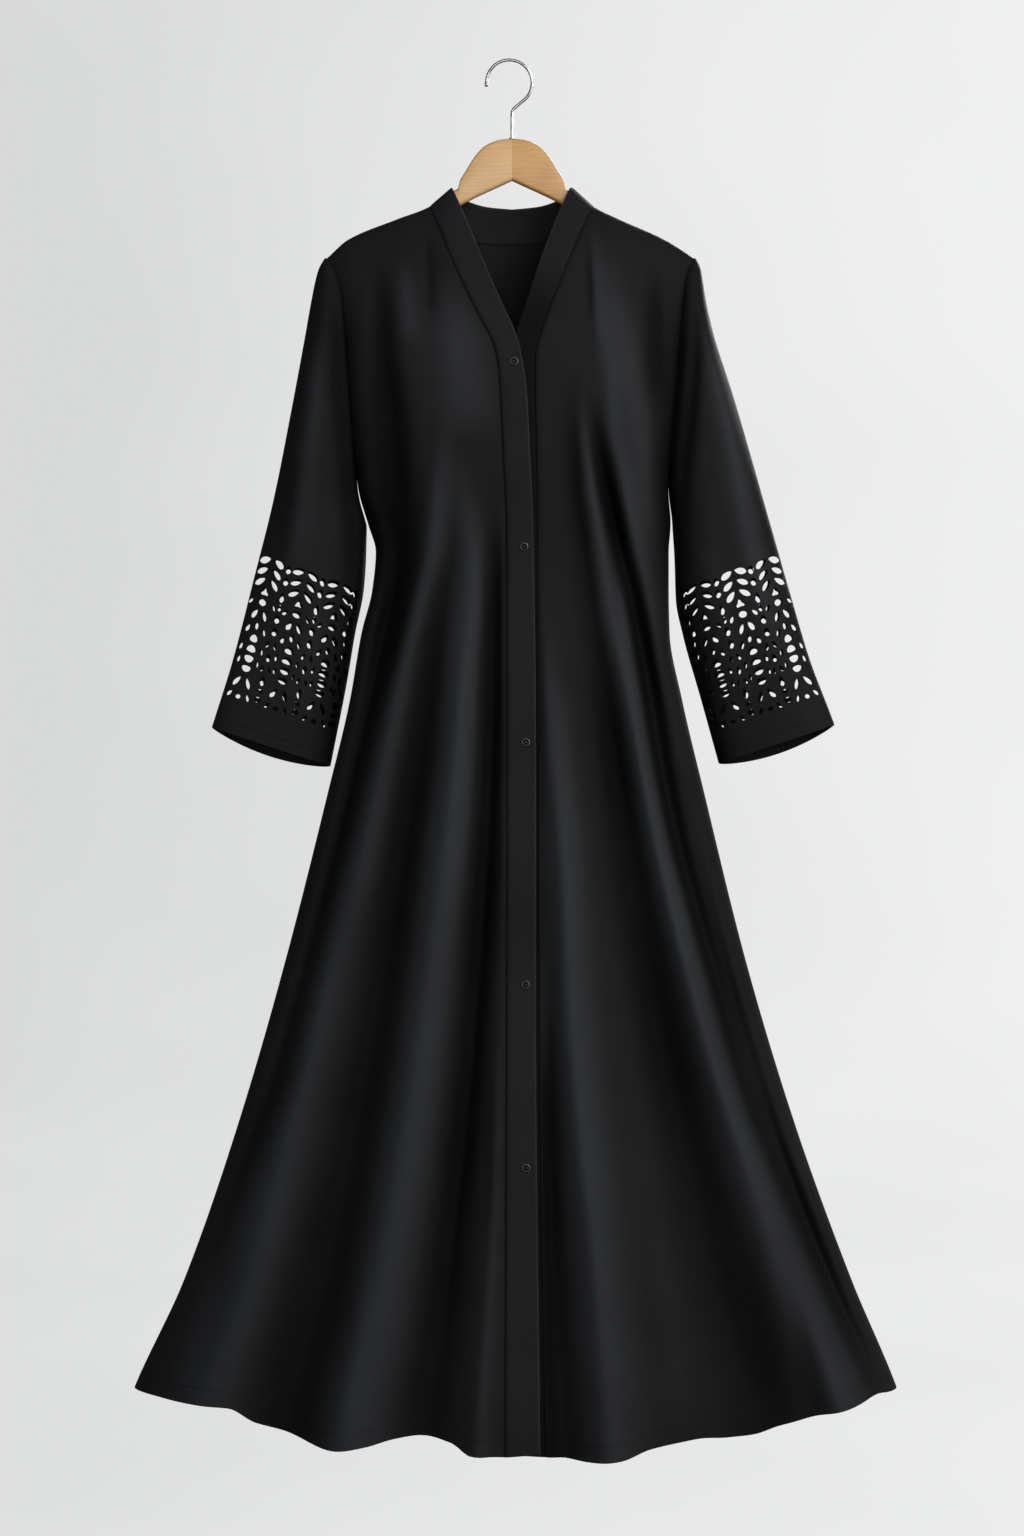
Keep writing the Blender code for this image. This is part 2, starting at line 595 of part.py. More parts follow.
# ---- fastenings, hanger and hook -----------------------------------------------------------------------
def make_button(number, points, out):
    """A ring snap, turned from its profile, standing on the band's outer face."""
    line, ways = points[BUTTON_STATION::3], out[BUTTON_STATION::3]
    order = np.argsort(line[:, 2])
    front = [i for i in order if line[i, 1] < -1]
    at = BUTTON_Z[number]
    place = np.array([np.interp(at, line[front, 2], line[front, k]) for k in range(3)])
    way = np.array([np.interp(at, line[front, 2], ways[front, k]) for k in range(3)])
    way /= np.linalg.norm(way)
    base = place + way * (BAND_WALL / 2 + SEAM)
    first = np.cross(way, (0, 0, 1.0))
    first /= np.linalg.norm(first)
    second = np.cross(way, first)
    rings = []
    for radius, height in BUTTON_PROFILE:
        for k in range(BUTTON_SIDES):
            angle = 2 * math.pi * k / BUTTON_SIDES
            spoke = math.cos(angle) * first + math.sin(angle) * second
            rings.append(base + way * height + spoke * radius)
    last = (len(BUTTON_PROFILE) - 1) * BUTTON_SIDES
    faces = [tuple(range(BUTTON_SIDES)), tuple(reversed(range(last, last + BUTTON_SIDES)))]
    for r in range(len(BUTTON_PROFILE) - 1):
        for k in range(BUTTON_SIDES):
            low, low_next = r * BUTTON_SIDES + k, r * BUTTON_SIDES + (k + 1) % BUTTON_SIDES
            faces.append((low_next, low, low + BUTTON_SIDES, low_next + BUTTON_SIDES))
    button = solid_object("button_%d" % (number + 1), rings, faces, (0.2, 0.2, 0.21), 0.3)
    button.data.shade_smooth()
    button.data.set_sharp_from_angle(angle=math.radians(30))
    return button


def hanger_stations(side):
    """Distances from the middle where the bar has a section, shared with the cloth's columns."""
    shoulder = [abs(mix(NECK_X[side], side_x[side](TIP_Z), u)) for u in FRONT_COLUMNS]
    shoulder = [x for x in shoulder if x < HANGER_REACH - 3]
    band = [abs(x) for x in (NECK_X[side], mix(NECK_X[side], CREST_EDGE[side], BUTTON_LINE),
                             CREST_EDGE[side])]
    crown = [row[0] for row in CROWN]
    return sorted({round(x, 2) for x in crown + band + shoulder + [HANGER_REACH]})


def make_hanger_arm(side):
    """Half of the bar: rounded on top where the cloth lies, a shallow arch below the neck."""
    outward = -1 if side == RIGHT else 1
    crown = smooth_line(CROWN)
    underside = smooth_line(UNDERSIDE)
    section = ((-0.3, 0.0), (0.3, 0.0), (0.74, -2.0), (1, -6.0), (1, 4.5), (0.6, 0.0),
               (-0.6, 0.0), (-1, 4.5), (-1, -6.0), (-0.74, -2.0))
    points = []
    stations = hanger_stations(side)
    for x in stations:
        clear = HANGER_CLEAR if x > abs(NECK_X[side]) + 3 else HANGER_CLEAR_AT_NECK
        under_cloth = float(crest(outward * x)) - WALL / 2 - clear
        top = float(crown(x)) if x <= CROWN[-1][0] else under_cloth
        low = float(underside(x))
        at = outward * (x if x else SEAM / 2)
        keep = HANGER_END if x == stations[-1] else 1
        for index, (wide, rise) in enumerate(section):
            level = top if index in (0, 1, 2, 3, 8, 9) else low
            z = mix((top + low) / 2, level + rise, keep)
            points.append((at, wide * HANGER_THICK / 2 * keep, z))
    size = len(section)
    faces = [tuple(range(size)), tuple(reversed(range(len(points) - size, len(points))))]
    for r in range(len(stations) - 1):
        for k in range(size):
            a, b = r * size + k, r * size + (k + 1) % size
            faces.append((b, a, a + size, b + size))
    arm = solid_object("hanger_arm_" + side, points, faces, (0.62, 0.40, 0.20), 0.42)
    arm.data.shade_smooth()
    arm.data.set_sharp_from_angle(angle=math.radians(35))
    return arm


def make_hook():
    """One bent wire: a stem that rises from the bar and a loop open at the wearer's right."""
    centre_z = WIRE / 2 - HOOK_RADIUS
    route = [(0, CROWN[0][1] + SEAM), (0, STEM_TOP_Z), STEM_BEND]
    for degrees in range(LOOP_START, LOOP_END + 1, LOOP_STEP):
        angle = math.radians(degrees)
        route.append((HOOK_CENTRE_X + HOOK_RADIUS * math.cos(angle),
                      centre_z + HOOK_RADIUS * math.sin(angle)))
    route.append((HOOK_CENTRE_X - HOOK_RADIUS, centre_z - TIP_DROP))
    wire = bpy.data.curves.new("hook", "CURVE")
    wire.dimensions = "3D"
    wire.bevel_depth = WIRE / 2 * MM
    wire.bevel_resolution = 2
    wire.use_fill_caps = True
    line = wire.splines.new("POLY")
    line.points.add(len(route) - 1)
    for point, (x, z) in zip(line.points, route):
        point.co = (x * MM, 0, z * MM, 1)
    hook = bpy.data.objects.new("hook", wire)
    bpy.context.scene.collection.objects.link(hook)
    wire.materials.append(finish("hook", (0.75, 0.76, 0.78), 0.18, 1.0))
    return hook


def main():
    for thing in list(bpy.data.objects):
        bpy.data.objects.remove(thing, do_unlink=True)
    make_back()
    for side in (RIGHT, LEFT):
        make_front(side)
        for face in (FRONT, BACK):
            make_sleeve(side, face)
        make_hanger_arm(side)
        band, points, out = make_band(side)
        if side == RIGHT:
            for number in range(len(BUTTON_Z)):
                make_button(number, points, out)
    make_hook()


main()
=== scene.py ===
# %% [markdown]
# # A cutwork abaya on a wooden hanger
#
# This lesson dresses a garment whose solids already exist. It loads them, makes a fine cloth shell
# on the form of each panel, adds the hanger, its hook and the ring snaps, and lights the whole.
# The garment's sizes are in millimetres until a mesh is made, and the studio's are in metres.

# %% Load the frame
import math
from collections import namedtuple

import bpy
import mathutils
import numpy as np
from mathutils.geometry import delaunay_2d_cdt
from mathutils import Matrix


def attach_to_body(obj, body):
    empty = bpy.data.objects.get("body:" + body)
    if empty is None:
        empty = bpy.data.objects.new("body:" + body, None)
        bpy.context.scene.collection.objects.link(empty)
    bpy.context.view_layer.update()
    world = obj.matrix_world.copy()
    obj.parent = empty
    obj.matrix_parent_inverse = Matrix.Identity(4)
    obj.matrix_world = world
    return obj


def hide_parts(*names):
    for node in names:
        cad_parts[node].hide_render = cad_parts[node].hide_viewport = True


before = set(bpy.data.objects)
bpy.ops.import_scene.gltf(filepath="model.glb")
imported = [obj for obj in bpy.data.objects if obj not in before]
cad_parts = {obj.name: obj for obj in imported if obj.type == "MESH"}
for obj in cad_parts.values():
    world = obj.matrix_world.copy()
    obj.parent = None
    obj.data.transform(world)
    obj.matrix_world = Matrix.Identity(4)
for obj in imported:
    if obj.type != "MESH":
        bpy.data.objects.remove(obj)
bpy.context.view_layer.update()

MM = 0.001
BODY = "root"
RIGHT, LEFT = "right", "left"
OUTWARD = {RIGHT: -1, LEFT: 1}
FRONT, BACK = -1, 1
FACE_NAME = {FRONT: "front", BACK: "back"}
print("loaded", len(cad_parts), "solids")

# %% [markdown]
# ## The garment's outline
#
# An abaya is cut as a wide A: narrow at the shoulders and very wide at the hem. These tables hold
# its outline at a few heights, as a pattern cutter would note them, seen from the front. The front
# faces -Y, +X is the wearer's left, and z = 0 is the top inside of the hook's loop.

# %% Sizes of the cloth and levels down the garment
CLOTH = 1.1
BAND_CLOTH = 1.9
# Sewn pieces run this far into each other, so that no light comes through a seam.
SEWN = 0.05
ARMHOLE_SEAM = 0.35
UNDERARM_GAP = 3.2
UNDERARM_SPAN = 130.0
LAP = 1.25

TIP_Z = -221.0
UNDERARM_Z = -520.0
WAIST_Z = -790.0
HEM_FREE_Z = -1200.0
SIDE_HEM_Z = -1484.0
CENTRE_HEM_Z = -1541.0
HEM_SAG = 12.0
BACK_HEM_LIFT = 6.0
YOKE_END_Z = -385.0
LAP_START_Z = -215.0
LAP_FULL_Z = -300.0
print("body length from shoulder point to hem:", TIP_Z - CENTRE_HEM_Z, "mm")

# %% Outline and depth of the body
Section = namedtuple("Section", "z right left front back")
SECTIONS = (
    Section(-221, -207, 203, 58, 54),
    Section(-243, -196, 194, 58, 54),
    Section(-270, -190, 190, 58, 54),
    Section(-380, -181, 181, 58, 54),
    Section(-480, -171, 174, 58, 54),
    Section(-520, -160, 177, 58, 54),
    Section(-549, -152, 175, 58, 54),
    Section(-592, -156, 175, 59, 54),
    Section(-640, -168, 176, 60, 55),
    Section(-715, -181, 190, 62, 57),
    Section(-816, -205, 214, 67, 61),
    Section(-1006, -253, 261, 84, 74),
    Section(-1186, -305, 315, 102, 90),
    Section(-1365, -367, 380, 115, 102),
    Section(-1484, -422, 430, 121, 108),
    Section(-1560, -450, 455, 123, 110),
)
SIDE_POWER = 2.6
SHOULDER_FALL = 280.0
ARMHOLE_OPENING = 0.16
ARMHOLE_RISE = 150.0
print("hem spread:", SECTIONS[-1].left - SECTIONS[-1].right, "mm")

# %% Shoulder line, seams and bands
CREST = (
    (-230, -240), (-207, -221), (-183, -200), (-129, -177.5), (-91.8, -163), (-67.2, -141.7),
    (-35, -131), (0, -128), (35, -131), (65, -141.7), (90.7, -163), (120, -177.5), (170, -200),
    (203, -221), (226, -240),
)
NECK_X = {RIGHT: -91.8, LEFT: 90.7}
FRONT_SEAM = {
    RIGHT: ((-163, -91.8), (-239.5, -61.2), (-292, -35.5), (-323, -19.9), (-349, -14.4),
            (-385, -12.1), (-437, -9.9), (-525, -6), (-783, -5.5), (-1560, -7.6)),
    LEFT: ((-163, 90.7), (-218, 66.8), (-279, 43.2), (-323, 28.8), (-341, 26.4),
           (-385, 26.5), (-496, 28.7), (-783, 29.2), (-1155, 30.7), (-1560, 37)),
}

# The band's free edge beside that seam: seam z, edge x, edge z.
BAND_EDGE = {
    RIGHT: ((-163, -67.2, -141.7), (-200, -49, -185), (-239.5, -31.8, -227.7), (-292, -9.7, -279.5),
            (-323, 4.4, -311), (-349, 11.1, -337), (-385, 16.8, -379), (-437, 19.6, -435),
            (-525, 23.5, -525), (-783, 26.4, -783), (-1046, 26.2, -1046), (-1541, 30.9, -1538)),
    LEFT: ((-163, 65, -141.7), (-190, 51.5, -174), (-218, 38.1, -208.2), (-279, 17.2, -270),
           (-323, 2.4, -315), (-341, -3, -336), (-385, -6, -385), (-496, -3, -496),
           (-783, 0, -783), (-1155, 0, -1155), (-1541, 2, -1539)),
}

# The back of the neck: distance from the middle, seam z, edge x, edge z.
BACK_NECK = (
    (0, -200.5, 0, -162), (30, -200, 28, -159.5), (58, -192, 50, -153.5), (78, -178, 61, -147.5),
    (88, -167.5, 65, -143.6), (91.8, -163, 67.2, -141.7),
)
print("neck is", NECK_X[LEFT] - NECK_X[RIGHT], "mm wide between the shoulder seams")

# %% Sleeves
SLEEVE_OUTER = {
    RIGHT: ((-221, -209.5), (-233, -216), (-245, -219.5), (-267, -224), (-312, -232), (-401, -248.6),
            (-491, -266.6), (-581, -289), (-670, -312), (-747, -336), (-800, -352)),
    LEFT: ((-221, 205.5), (-233, 211), (-245, 213), (-267, 216.5), (-301, 224), (-379, 248.6),
           (-491, 281), (-603, 313), (-670, 333), (-744, 361), (-800, 379)),
}
SLEEVE_INNER = {
    RIGHT: ((-520, -163), (-558, -164), (-592, -166.5), (-640, -176), (-696, -185.5),
            (-755, -197), (-810, -208)),
    LEFT: ((-520, 180), (-558, 182.5), (-603, 184), (-643, 192), (-714, 212), (-788, 232.5),
           (-810, 238.5)),
}
SLEEVE_DEPTH = ((-520, 42), (-600, 38), (-700, 30), (-791, 23), (-810, 22.5))
SLEEVE_POWER = 2.2
UNDERARM_OUTER_Z = -480.0
CUFF_Z = {RIGHT: -789.0, LEFT: -786.0}
CUFF_OUTER_Z = {RIGHT: -746.0, LEFT: -743.0}
BACK_CUFF_DROP = 11.0
SLEEVE_SPAN = 130.0
print("cuffs at", CUFF_Z)

# %% [markdown]
# ## Folds and creases
#
# The cloth hangs from the shoulders, so its folds start near the yoke and grow towards the hem.
# The large ones are rows of place, breadth and rise across a panel. The creases are listed
# in millimetres: each follows a short path down the cloth, is sharper on one side than the other,
# and dies away at its ends. Uneven lengths and spacings keep it from looking ruled.

# %% Large folds
Fold = namedtuple("Fold", "waist hem start breadth rise")
FOLDS = {
    "front_right": (
        Fold(0.03, 0.07, -1250, 0.035, 8),
        Fold(0.10, 0.21, -520, 0.070, -24),
        Fold(0.30, 0.41, -440, 0.100, 27),
        Fold(0.54, 0.56, -560, 0.090, -26),
        Fold(0.84, 0.80, -640, 0.095, 24),
    ),
    "front_left": (
        Fold(0.03, 0.05, -960, 0.040, -11),
        Fold(0.14, 0.17, -700, 0.085, 26),
        Fold(0.49, 0.58, -640, 0.105, -28),
        Fold(0.66, 0.82, -460, 0.085, 27),
        Fold(0.88, 0.94, -740, 0.030, -9),
    ),
    "back": (
        Fold(0.13, 0.11, -640, 0.045, 22),
        Fold(0.24, 0.20, -540, 0.040, -21),
        Fold(0.33, 0.29, -440, 0.048, 26),
        Fold(0.42, 0.39, -580, 0.045, -24),
        Fold(0.50, 0.49, -400, 0.050, 24),
        Fold(0.59, 0.60, -620, 0.045, -25),
        Fold(0.67, 0.70, -480, 0.048, 27),
        Fold(0.76, 0.80, -600, 0.040, -20),
        Fold(0.87, 0.89, -690, 0.045, 22),
    ),
}
FOLD_MARGIN = 0.05
FOLD_GROWTH = 0.8
print("large folds:", {panel: len(rows) for panel, rows in FOLDS.items()})

# %% Creases: the path is (z, x) down the cloth, then breadth towards the right and left, and rise
Crease = namedtuple("Crease", "path right left rise")
CREASES = {
    "front": (
        Crease(((-190, -96), (-233, -93), (-300, -90)), 5, 8, -1.8),
        Crease(((-215, -122), (-276, -118), (-330, -112)), 12, 12, 2.0),
        Crease(((-215, -150), (-276, -146), (-345, -144), (-430, -138)), 14, 16, -5.0),
        Crease(((-240, -76), (-345, -60), (-440, -50)), 26, 32, 3.6),
        Crease(((-290, -142), (-413, -134), (-479, -130), (-544, -126), (-640, -142), (-740, -163)),
               32, 22, -9.0),
        Crease(((-380, -70), (-435, -78), (-479, -84), (-544, -91), (-609, -105), (-674, -121),
                (-761, -138), (-870, -160), (-956, -176), (-1060, -203)), 12, 20, 6.0),
        Crease(((-500, -128), (-609, -136), (-696, -154), (-783, -173), (-870, -192), (-958, -214),
                (-1046, -236), (-1134, -260), (-1222, -298), (-1310, -332), (-1450, -384)),
               20, 19, -16.0),
        Crease(((-470, -62), (-544, -67), (-609, -78), (-696, -89), (-783, -95), (-870, -111),
                (-960, -124)), 17, 15, -3.2),
        Crease(((-470, -42), (-544, -40), (-609, -40), (-696, -54), (-783, -62), (-870, -70),
                (-960, -78)), 16, 14, 4.5),
        Crease(((-480, -20), (-609, -19), (-696, -20), (-783, -22), (-870, -25), (-956, -30),
                (-1043, -36), (-1130, -43), (-1217, -52), (-1304, -64), (-1391, -73), (-1560, -88)),
               19, 9, -7.0),
        Crease(((-1060, -14), (-1217, -17), (-1304, -20), (-1391, -26), (-1478, -32), (-1620, -42)),
               8, 7, 6.0),
        Crease(((-1180, -206), (-1290, -224), (-1400, -252), (-1520, -286)), 24, 18, -4.0),
        Crease(((-1290, -150), (-1390, -168), (-1570, -192)), 16, 13, 3.0),
        Crease(((-1300, -330), (-1400, -352), (-1520, -382)), 15, 20, 3.5),
        Crease(((-172, 87), (-239, 91), (-300, 94), (-360, 98)), 4, 12, 2.8),
        Crease(((-190, 82), (-240, 85), (-300, 87)), 4, 4, -1.8),
        Crease(((-190, 100), (-283, 114), (-348, 123), (-413, 137), (-478, 154), (-600, 184)), 22, 22, 5.0),
        Crease(((-215, 158), (-276, 157), (-343, 160), (-420, 172)), 11, 12, -4.5),
        Crease(((-250, 98), (-343, 106), (-413, 110), (-479, 123), (-544, 136), (-609, 152),
                (-680, 170), (-760, 186)), 12, 13, 5.0),
        Crease(((-330, 70), (-413, 66), (-479, 69), (-544, 77), (-609, 85), (-696, 98), (-783, 109),
                (-880, 122)), 17, 11, -5.5),
        Crease(((-350, 72), (-413, 79), (-479, 87), (-544, 98), (-609, 107), (-696, 123),
                (-783, 139), (-870, 155), (-956, 175), (-1043, 199), (-1130, 224), (-1217, 259),
                (-1304, 303), (-1420, 368)), 15, 9, 5.5),
        Crease(((-370, 86), (-413, 92), (-479, 104), (-544, 119), (-609, 134), (-696, 150),
                (-783, 164), (-870, 181), (-956, 205), (-1044, 231), (-1133, 256), (-1222, 290),
                (-1313, 330), (-1420, 374), (-1600, 440)), 12, 17, -19.0),
        Crease(((-600, 34), (-696, 39), (-783, 44), (-870, 52), (-956, 57), (-1043, 59), (-1130, 67),
                (-1217, 77), (-1304, 90), (-1391, 98), (-1800, 112)), 14, 22, 6.5),
        Crease(((-660, 104), (-830, 116), (-956, 131), (-1080, 160), (-1217, 196), (-1330, 232)),
               26, 18, -5.0),
        Crease(((-1000, 31), (-1130, 35), (-1217, 38), (-1304, 40), (-1391, 39), (-1580, 41)),
               6, 11, -7.0),
        Crease(((-1230, 148), (-1340, 164), (-1600, 186)), 24, 18, 3.0),
        Crease(((-1290, 240), (-1390, 270), (-1560, 304)), 18, 22, -3.0),
        Crease(((-1270, 286), (-1391, 312), (-1480, 329), (-1800, 400)), 24, 20, -11.0),
    ),
    "back": (
        Crease(((-215, -128), (-290, -122), (-400, -112), (-520, -104)), 15, 20, 4.0),
        Crease(((-230, 132), (-330, 124), (-470, 108)), 22, 14, 3.6),
        Crease(((-260, -66), (-380, -60), (-560, -52), (-690, -49)), 12, 17, -4.0),
        Crease(((-250, 20), (-420, 26), (-640, 36), (-900, 42)), 18, 13, 4.2),
        Crease(((-300, 70), (-430, 76), (-600, 88), (-760, 98)), 12, 15, -3.8),
        Crease(((-420, -140), (-560, -131), (-700, -140), (-860, -162)), 9, 17, 5.0),
        Crease(((-480, 140), (-600, 134), (-760, 150), (-940, 188)), 16, 9, 5.0),
        Crease(((-640, -96), (-820, -108), (-1000, -132), (-1200, -170)), 14, 11, -5.5),
        Crease(((-700, -10), (-900, -6), (-1140, 4), (-1420, 14)), 11, 16, -4.5),
        Crease(((-740, 62), (-930, 74), (-1160, 100), (-1330, 122)), 17, 12, 4.6),
        Crease(((-860, 150), (-1010, 176), (-1180, 222), (-1360, 276)), 10, 14, -6.0),
        Crease(((-900, -190), (-1080, -226), (-1250, -282), (-1400, -330)), 15, 10, -6.0),
        Crease(((-1040, -60), (-1220, -74), (-1400, -88), (-1600, -100)), 12, 18, 5.0),
        Crease(((-1100, 166), (-1260, 200), (-1420, 236), (-1600, 270)), 18, 12, 4.4),
        Crease(((-1180, 60), (-1330, 68), (-1600, 84)), 10, 12, -4.6),
        Crease(((-1260, -214), (-1380, -240), (-1600, -278)), 14, 16, 4.0),
    ),
    "sleeve_right_front": (
        Crease(((-176, -200), (-283, -192), (-348, -192), (-413, -186), (-478, -178), (-560, -178),
                (-660, -190)), 12, 9, -7.0),
        Crease(((-262, -212), (-383, -222), (-494, -234), (-610, -248)), 13, 16, 2.8),
        Crease(((-430, -238), (-520, -254), (-600, -272)), 10, 12, -1.6),
        Crease(((-560, -206), (-650, -222), (-760, -244)), 16, 14, 1.8),
    ),
    "sleeve_right_back": (
        Crease(((-260, -208), (-380, -214), (-520, -226)), 12, 10, -3.0),
        Crease(((-330, -230), (-450, -246), (-580, -262)), 11, 15, 2.6),
        Crease(((-540, -196), (-640, -214), (-750, -238)), 13, 13, 2.2),
        Crease(((-500, -262), (-610, -286), (-720, -310)), 10, 9, -1.6),
    ),
    "sleeve_left_front": (
        Crease(((-212, 207), (-301, 222), (-365, 233), (-438, 246), (-510, 258), (-590, 274),
                (-720, 308)), 13, 16, 5.2),
        Crease(((-230, 203), (-300, 204), (-348, 202), (-413, 196), (-483, 188), (-560, 188)), 8, 9, -5.0),
        Crease(((-300, 238), (-379, 256), (-469, 276), (-570, 302)), 9, 11, -2.0),
        Crease(((-520, 214), (-620, 232), (-740, 262)), 15, 15, 2.0),
    ),
    "sleeve_left_back": (
        Crease(((-250, 210), (-370, 220), (-500, 232)), 10, 12, -3.2),
        Crease(((-320, 236), (-440, 256), (-570, 280)), 14, 10, 2.8),
        Crease(((-500, 208), (-620, 230), (-740, 258)), 12, 14, 2.2),
        Crease(((-480, 276), (-600, 306), (-720, 338)), 9, 10, -1.8),
    ),
}
CREASE_GROWS = 0.42
CREASE_GROWS_MOST = 170.0
CREASE_FADES = 0.3
CREASE_CLEAR = 9.0
CREASE_BREADTHS = 0.65, 1.15
SEAM_DIP = 0.9
SEAM_DIP_REACH = 2.4
BELOW_CREST = 40.0
ABOVE_UNDERARM = 30.0
print("creases:", {place: len(rows) for place, rows in CREASES.items()})

# %% [markdown]
# ## The cloth as a depth over the front view
#
# A garment on a hanger is nearly flat, so each panel can be written as one number: how far the
# cloth stands off the hanger's plane at a place (x, z). Writing it as a function, not as points,
# lets panels of any fineness share one form, and their edges meet because they read the same depth.

# %% Small helpers
def smooth_line(rows):
    """Return a function that reads a smooth line through (key, value) rows without overshoot."""
    keys, values = np.array(sorted(rows), float).T
    steps = np.diff(keys)
    rises = np.diff(values) / steps
    tangents = np.concatenate(([rises[0]], np.zeros(len(rises) - 1), [rises[-1]]))
    for i in range(1, len(rises)):
        if rises[i - 1] * rises[i] > 0:
            tangents[i] = 2 * rises[i - 1] * rises[i] / (rises[i - 1] + rises[i])

    def read(at):
        at = np.clip(at, keys[0], keys[-1])
        i = np.clip(np.searchsorted(keys, at, side="right") - 1, 0, len(steps) - 1)
        t = (at - keys[i]) / steps[i]
        start = values[i] * (1 + 2 * t) + tangents[i] * steps[i] * t
        end = values[i + 1] * (3 - 2 * t) - tangents[i + 1] * steps[i] * (1 - t)
        return start * (1 - t) ** 2 + end * t ** 2

    return read


def column(name):
    return smooth_line([(row.z, getattr(row, name)) for row in SECTIONS])


def mix(a, b, t):
    return a + (b - a) * t


def ease(t):
    t = np.clip(t, 0, 1)
    return t * t * (3 - 2 * t)


print("ease at a quarter:", float(ease(0.25)))

# %% Lines that the panels share
side_x = {RIGHT: column("right"), LEFT: column("left")}
half_depth = {FRONT: column("front"), BACK: column("back")}
crest = smooth_line(CREST)
seam_x = {side: smooth_line(rows) for side, rows in FRONT_SEAM.items()}
outer_x = {side: smooth_line(rows) for side, rows in SLEEVE_OUTER.items()}
inner_x = {side: smooth_line(rows) for side, rows in SLEEVE_INNER.items()}
sleeve_depth = smooth_line(SLEEVE_DEPTH)
back_neck_z = smooth_line([(row[0], row[1]) for row in BACK_NECK])
print("chest is", float(side_x[LEFT](-400.0) - side_x[RIGHT](-400.0)), "mm across")

# %% Depth of the body
def armhole_share(z):
    """How much of the side stays open for the sleeve: none below the underarm."""
    return ARMHOLE_OPENING * np.clip((z - UNDERARM_Z) / ARMHOLE_RISE, 0, 1)


def body_square(face):
    """Return the squared depth of the plain body, which passes through zero at its outline."""
    def square(x, z):
        centre = (side_x[RIGHT](z) + side_x[LEFT](z)) / 2
        half = (side_x[LEFT](z) - side_x[RIGHT](z)) / 2
        fallen = np.minimum((crest(x) - z) / SHOULDER_FALL, 1)
        over_shoulder = fallen * (2 - fallen)
        across = np.abs(x - centre) / half * (1 - armhole_share(z))
        return half_depth[face](z) ** 2 * over_shoulder * (1 - across ** SIDE_POWER)

    return square


print("front stands", float(np.sqrt(body_square(FRONT)(np.array(0.0), np.array(-600.0)))), "mm out")

# %% Folds and creases on the body
def panel_share(panel, x, z):
    """Where a place lies across its panel: 0 at the front seam (or the right side), 1 at the side."""
    if panel == "back":
        return (x - side_x[RIGHT](z)) / (side_x[LEFT](z) - side_x[RIGHT](z))
    side = RIGHT if panel == "front_right" else LEFT
    return (x - seam_x[side](z)) / (side_x[side](z) - seam_x[side](z))


def fold_rise(panel, x, z):
    share = panel_share(panel, x, z)
    flat_edges = ease(share / FOLD_MARGIN) * ease((1 - share) / FOLD_MARGIN)
    fallen = np.clip((WAIST_Z - z) / (WAIST_Z - SIDE_HEM_Z), 0, 1)
    total = 0
    for fold in FOLDS[panel]:
        middle = mix(fold.waist, fold.hem, fallen)
        grown = np.clip((fold.start - z) / (fold.start - SIDE_HEM_Z), 0, 1) ** FOLD_GROWTH
        total = total + fold.rise * grown * np.exp(-((share - middle) / fold.breadth) ** 2)
    return total * flat_edges


def crease_rise(place, x, z):
    """Height of the listed creases: sharp on one side, soft on the other, faded at the ends."""
    total = 0 * x
    for crease in CREASES[place]:
        top, low = crease.path[0][0], crease.path[-1][0]
        down = np.clip((top - z) / (top - low), 0, 1)
        grows = min(CREASE_GROWS, CREASE_GROWS_MOST / (top - low))
        fade = ease(down / grows) * ease((1 - down) / CREASE_FADES)
        beside = x - smooth_line(crease.path)(z)
        breadth = np.where(beside < 0, crease.right, crease.left) * mix(*CREASE_BREADTHS, down)
        total = total + crease.rise * fade * np.exp(-((beside / breadth) ** 2))
    return total


def seam_dip(distance):
    """Cloth sinks a little into the stitched seam beside it."""
    return -SEAM_DIP * np.exp(-((distance / SEAM_DIP_REACH) ** 2))


def body_folds(face):
    def rise(x, z):
        fallen = ease((crest(x) - z) / BELOW_CREST)
        right, left = x - side_x[RIGHT](z), side_x[LEFT](z) - x
        edge = np.minimum(right, left)
        clear = ease(edge / (3 * CREASE_CLEAR))
        if face == BACK:
            return fold_rise("back", x, z) + fallen * clear * crease_rise("back", x, z)
        seam = np.where(x < (seam_x[RIGHT](z) + seam_x[LEFT](z)) / 2, seam_x[RIGHT](z) - x,
                        x - seam_x[LEFT](z))
        clear = clear * ease(seam / CREASE_CLEAR)
        folds = fold_rise("front_right", x, z) + fold_rise("front_left", x, z)
        armhole = seam_dip(edge) * ease((z - UNDERARM_Z) / ABOVE_UNDERARM)
        return folds + fallen * (clear * crease_rise("front", x, z) + seam_dip(seam) + armhole)

    return rise


print("deepest fold at the waist:", float(body_folds(FRONT)(np.array(-30.0), np.array(-850.0))), "mm")

# %% Depth of a sleeve
FOLD_HEIGHT_AT = (350, 900, 1500)
FOLD_HEIGHTS = (4.0, 9.5, 35.0)
# Reach of the painted shade beside the armhole, and over how far below the shoulder it grows in.
ARMHOLE_SHADE_REACH = 18.0
ARMHOLE_SHADE_FROM = 120.0
SHALLOWEST = 1e-6


def sleeve_inner_x(side, z):
    near_underarm = ease((UNDERARM_Z + UNDERARM_SPAN - z) / UNDERARM_SPAN)
    apart = mix(ARMHOLE_SEAM, UNDERARM_GAP, near_underarm)
    return np.where(z > UNDERARM_Z, side_x[side](z) + OUTWARD[side] * apart, inner_x[side](z))


